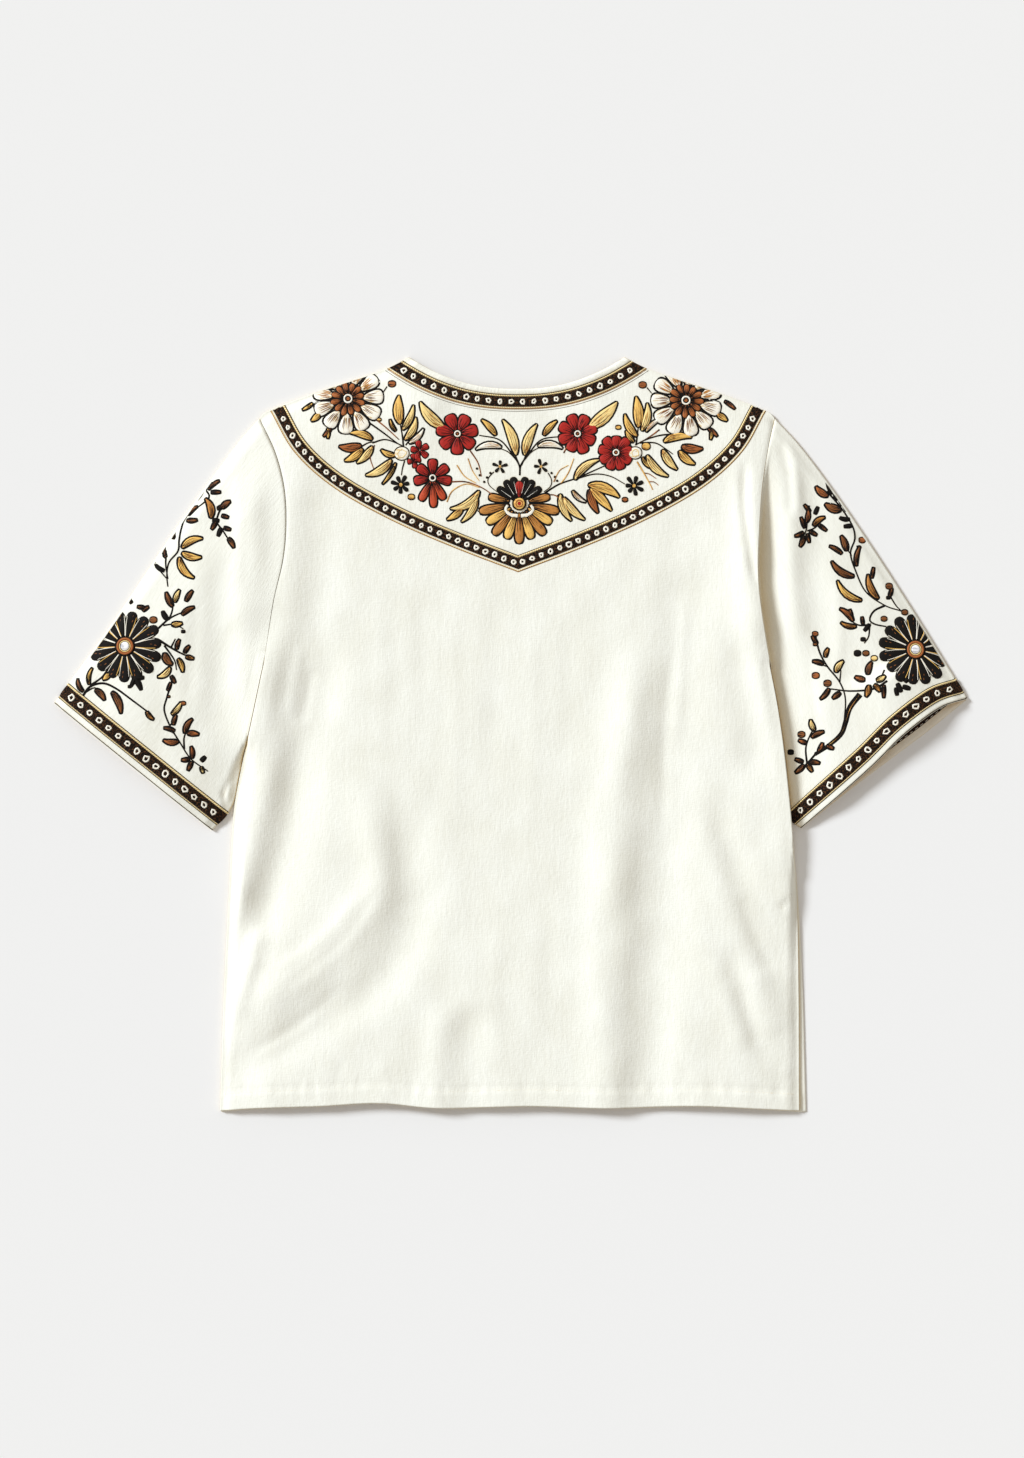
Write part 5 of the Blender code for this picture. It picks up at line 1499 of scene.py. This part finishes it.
RIGHT_LEAVES = [
    (281, 552, 268, 562, 8.0, RUST, 0.10), (284, 554, 279, 565, 3.5, BLACK, 0.0),
    (293, 540, 276, 546, 9.5, RUST, 0.10), (289, 549, 285, 556, 2.6, BLACK, 0.0),
    (293, 544, 290, 551, 2.6, BLACK, 0.0), (297, 539, 294, 546, 2.6, BLACK, 0.0),
    (300, 532, 290, 533, 3.4, BLACK, 0.10), (302, 526, 294, 525, 3.0, BLACK, 0.0),
    (297, 502, 291, 518, 7.5, BROWN, -0.05), (293, 500, 280, 508, 5.0, BROWN, -0.06),
    (305, 488, 309, 509, 5.5, RUST, 0.08), (305, 479, 281, 495, 8.0, RUST, 0.14),
    (312, 457, 286, 478, 8.0, GOLD, 0.16), (326, 458, 315, 484, 8.0, RUST, 0.12),
    (319, 478, 321, 489, 3.6, BROWN, 0.0), (335, 462, 338, 470, 4.0, BROWN, 0.0),
    (264, 538, 258, 545, 4.0, BROWN, 0.0), (260, 528, 262, 541, 6.0, RUST, -0.08),
    (259, 523, 255, 534, 4.0, BROWN, 0.0), (258, 520, 249, 516, 4.5, BROWN, 0.08),
    (258, 517, 254, 506, 6.0, RUST, 0.06), (261, 519, 263, 510, 3.6, BROWN, 0.0),
    (268, 536, 271, 543, 3.2, BLACK, 0.0), (266, 525, 278, 534, 6.5, RUST, 0.12),
    (271, 527, 279, 521, 4.0, BROWN, 0.0), (263, 521, 270, 517, 4.0, RUST, 0.0),
    (303, 439, 289, 452, 6.5, RUST, -0.10), (306, 435, 290, 439, 6.0, RUST, 0.12),
    (301, 442, 299, 451, 3.6, BROWN, 0.0), (311, 437, 310, 444, 3.0, BROWN, 0.0),
    (317, 437, 312, 431, 3.0, BLACK, 0.0), (315, 391, 319, 404, 7.0, BROWN, 0.08),
    (313, 387, 303, 390, 6.5, RUST, 0.06), (316, 383, 313, 371, 7.0, RUST, 0.06),
    (322, 386, 331, 391, 6.5, RUST, -0.06), (320, 383, 326, 376, 6.0, RUST, 0.06),
    (329, 383, 329, 370, 3.8, BROWN, 0.0), (341, 384, 345, 376, 3.8, BLACK, 0.0),
    (346, 381, 353, 379, 3.8, BLACK, 0.0), (348, 385, 352, 390, 3.8, BLACK, 0.0),
    (340, 380, 341, 373, 3.4, BLACK, 0.0), (270, 419, 265, 427, 4.0, BROWN, 0.0),
    (277, 407, 280, 416, 5.5, RUST, 0.06), (276, 401, 265, 404, 5.5, RUST, -0.06),
    (286, 393, 294, 405, 7.5, RUST, 0.10), (281, 380, 272, 369, 5.5, RUST, 0.08),
    (291, 376, 283, 370, 6.0, BROWN, 0.0), (268, 341, 264, 352, 6.5, RUST, 0.08),
    (264, 335, 277, 341, 6.0, BROWN, 0.06), (261, 330, 253, 333, 5.0, RUST, 0.0),
    (278, 328, 285, 325, 5.0, RUST, 0.0), (271, 322, 275, 331, 5.5, RUST, -0.06),
    (263, 313, 273, 312, 5.5, BROWN, 0.06), (261, 312, 266, 304, 5.5, RUST, 0.0),
    (259, 311, 250, 303, 6.0, BROWN, 0.05), (258, 313, 250, 316, 4.5, BROWN, 0.0),
]
RIGHT_STEMS = [
    (0.9, INK, [(279, 557), (292, 542), (302, 526), (304, 514), (300, 501), (305, 484),
                (314, 466), (331, 454), (346, 449)]),
    (0.8, INK, [(285, 560), (296, 544), (303, 532)]), (0.8, INK, [(306, 508), (307, 500), (304, 490)]),
    (0.8, INK, [(294, 513), (297, 505), (301, 499)]), (0.7, INK, [(336, 462), (341, 454), (346, 449)]),
    (1.0, INK, [(331, 454), (321, 449), (317, 441), (322, 437), (332, 435)]),
    (0.9, INK, [(318, 437), (308, 436), (300, 440)]), (0.8, INK, [(317, 436), (316, 426), (312, 420)]),
    (0.8, INK, [(263, 544), (261, 533), (260, 522), (255, 512)]),
    (0.8, INK, [(261, 521), (268, 524), (277, 533)]),
    (1.0, INK, [(332, 386), (320, 379), (300, 377), (281, 379)]), (0.8, INK, [(330, 396), (326, 388)]),
    (0.9, INK, [(268, 428), (272, 412), (279, 399), (290, 385), (295, 370), (294, 350)]),
    (0.7, INK, [(279, 399), (270, 402)]), (0.7, INK, [(290, 385), (291, 396)]),
    (2.6, INK, [(308, 374), (299, 362), (295, 348), (291, 338), (280, 328), (268, 320)]),
    (1.4, GOLD, [(307, 373), (299, 361), (295, 348), (291, 338), (281, 329)]),
    (1.0, INK, [(270, 322), (263, 314), (256, 307)]),
    (0.9, INK, [(261, 312), (260, 326), (264, 338), (268, 344)]), (0.7, INK, [(281, 379), (275, 374)]),
]
RIGHT_BERRIES = [
    (310.8, 513, 3.6, RUST), (335, 471.5, 3.8, BROWN), (334, 461, 1.9, BLACK), (330, 442, 3.2, BROWN),
    (311, 423.5, 2.4, BLACK), (306, 411, 3.6, BLACK), (313.5, 411, 3.4, BROWN), (321, 406.5, 3.4, PALE),
    (268, 428.5, 3.0, RUST), (268.5, 391, 3.8, RUST), (279, 384, 4.0, BROWN), (256, 338, 3.8, BROWN),
    (246.5, 322, 3.0, BLACK), (349, 448, 3.4, BROWN), (268, 419, 2.0, BROWN),
]


def sleeve_flower(sewing, x, y, turn):
    centre = np.array([x, y])
    petals = 15
    sewing.flower(centre, petals, 7.5, 32.5, 11.6, BLACK, turn, 0.55, 0.05, 0.05)
    for k in range(petals):
        way = way_of(math.radians(turn) + 2 * math.pi * (k + 0.5) / petals)
        side = np.array([-way[1], way[0]])
        for lean in (-1, 1):
            reaches = ((9.5, 0), (19, 0.5), (27.5, 1.5))
            curve = [centre + way * far + side * lean * off for far, off in reaches]
            sewing.stem(curve, 0.95, IVORY if (k + lean) % 3 else GOLD, 0.75, 0.5, (0.9, 0.9))
        for reach in (22, 26):
            spot = centre + way * reach + side * sewing.random.uniform(3.5, 5.5)
            ends = spot, spot + way * 2.5
            sewing.blade(*ends, 0.8, BROWN, rim=0, high=0.25, steps=5, level=0.95, streaks=0)
    sewing.disc(centre, 8.4, INK, 0.8, 0.9)
    sewing.ring(centre, 6.7, 2.0, RUST, 1.55, 0.6, sides=24)
    sewing.ring(centre, 4.9, 0.8, PALE, 1.7, 0.5, sides=24)
    sewing.disc(centre, 4.0, GEM, 1.5, 1.6, rim=0)


# Stems, leaves, berries, and the flower: x, y, turn
SLEEVE_SPRAYS = {
    "left": (LEFT_STEMS, LEFT_LEAVES, LEFT_BERRIES, (-352.5, 417.4, 5)),
    "right": (RIGHT_STEMS, RIGHT_LEAVES, RIGHT_BERRIES, (358.4, 414.5, 0)),
}
LEAF_SHORTENING, LEAF_NARROWING, SLEEVE_STEM_WIDENING, BERRY_SHRINKING = 0.08, 0.92, 2.15, 0.8


def make_sleeve_embroidery(side, ground):
    """The embroidery of a sleeve. Each rust leaf is given one of four colours."""
    stems, leaves, berries, flower = SLEEVE_SPRAYS[side]
    sewing = Sewing(f"sleeve_{side}_embroidery", ground, inside_sleeve(side))
    for width, colour, points in stems:
        sewing.stem(points, width * SLEEVE_STEM_WIDENING, colour)
    for x0, y0, x1, y1, width, colour, bend in leaves:
        root, tip = np.array([x0, y0]), np.array([x1, y1])
        short = (tip - root) * LEAF_SHORTENING
        if colour == RUST:
            colour = sewing.random.choice((RUST, TAN, PALE, BROWN))
        width *= LEAF_NARROWING
        sewing.blade(root + short, tip - short, width, colour, "leaf", bend, rim=1.6)
    for x, y, radius, colour in berries:
        sewing.disc((x, y), radius * BERRY_SHRINKING, colour, 0.1, 0.8)
    sleeve_flower(sewing, *flower)
    sewing.finish()


# Hem
STITCHES_INSET, STITCHES_DROP = 0.004, 0.0012


def stitch_row(name, ground, line, stitch=0.0026, gap=0.0011, width=0.42):
    """A row of short stitches that lie in a line on the cloth."""
    sewing = Sewing(name, ground)
    count = int(length_of(line) / (stitch + gap))
    fine = spaced(line, count * 8)
    for k in range(count):
        part = fine[8 * k : 8 * k + 6]
        widths = np.full(len(part), width / 2 * MM)
        sewing.strip(part, widths, (-0.00012, 0.00012), 0, 3, (0.9, 0.9))
    return sewing.finish([THREADS[IVORY]])


def make_stitches(ground):
    left, right = (np.interp(HEM_DEPTH, *np.array(side)[::-1].T[::-1]) for side in (SIDE_LEFT, SIDE_RIGHT))
    hem = hem_cells(left + STITCHES_INSET, right - STITCHES_INSET, 160)
    stitch_row("hem_stitches", ground, hem + (0, HEM_DEPTH - STITCHES_DROP))


# Stage, lights and camera

PHOTO_CENTRE = (-0.0045, 0.3429)
VIEW_TALL = 1.3122
LENS = 85.0
SENSOR = 36.0
FOCUS_HEIGHT = 0.006
SUNS = [("key", (-0.75, 0.45, 0.475), 3.66, 0.26, (0.904, 0.953, 1.0))]


def make_stage():
    camera = bpy.data.cameras.new("camera")
    camera.lens = LENS
    camera.sensor_width = SENSOR
    camera.clip_end = 20
    eye = bpy.data.objects.new("camera", camera)
    away = VIEW_TALL * LENS / SENSOR
    eye.location = (PHOTO_CENTRE[0] - CENTRE_ACROSS, PHOTO_CENTRE[1] - CENTRE_UP, away + FOCUS_HEIGHT)
    bpy.context.scene.collection.objects.link(eye)
    bpy.context.scene.camera = eye

    size = 6.0
    floor = bpy.data.meshes.new("floor")
    corners = [(-size, -size, 0), (size, -size, 0), (size, size, 0), (-size, size, 0)]
    floor.from_pydata(corners, [], [(0, 1, 2, 3)])
    made, _, shader = material("pale_backdrop", 0.9)
    shader.inputs["Base Color"].default_value = (*srgb(240, 240, 240), 1)
    floor.materials.append(made)
    ground = bpy.data.objects.new("floor", floor)
    bpy.context.scene.collection.objects.link(ground)

    world = bpy.data.worlds.new("studio")
    world.use_nodes = True
    backdrop = world.node_tree.nodes["Background"]
    backdrop.inputs["Color"].default_value = (1.0, 0.945, 0.875, 1)
    backdrop.inputs["Strength"].default_value = 0.502
    bpy.context.scene.world = world

    for name, place, energy, angle, colour in SUNS:
        lamp = bpy.data.lights.new(name, "SUN")
        lamp.energy = energy
        lamp.angle = angle
        lamp.color = colour
        lit = bpy.data.objects.new(name, lamp)
        lit.location = place
        lit.rotation_euler = Vector(place).to_track_quat("Z", "Y").to_euler()
        bpy.context.scene.collection.objects.link(lit)
    bpy.context.scene.view_settings.view_transform = "Standard"


make_stage()
BODY = Ground(True, (-0.272, -0.004), (0.264, 0.684))
LEFT = Ground(False, (-0.422, 0.245), (-0.200, 0.632))
RIGHT = Ground(False, (0.206, 0.245), (0.412, 0.632))
make_back()
make_front()
make_front_neckband()
make_back_neckband(BODY)
for side, ground in (("left", LEFT), ("right", RIGHT)):
    rings = make_sleeve(side)
    make_cuff_trim(side, rings, ground)
    make_sleeve_embroidery(side, ground)
make_neck_trim(BODY)
make_yoke_trim(BODY)
make_yoke_embroidery(BODY)
make_stitches(BODY)
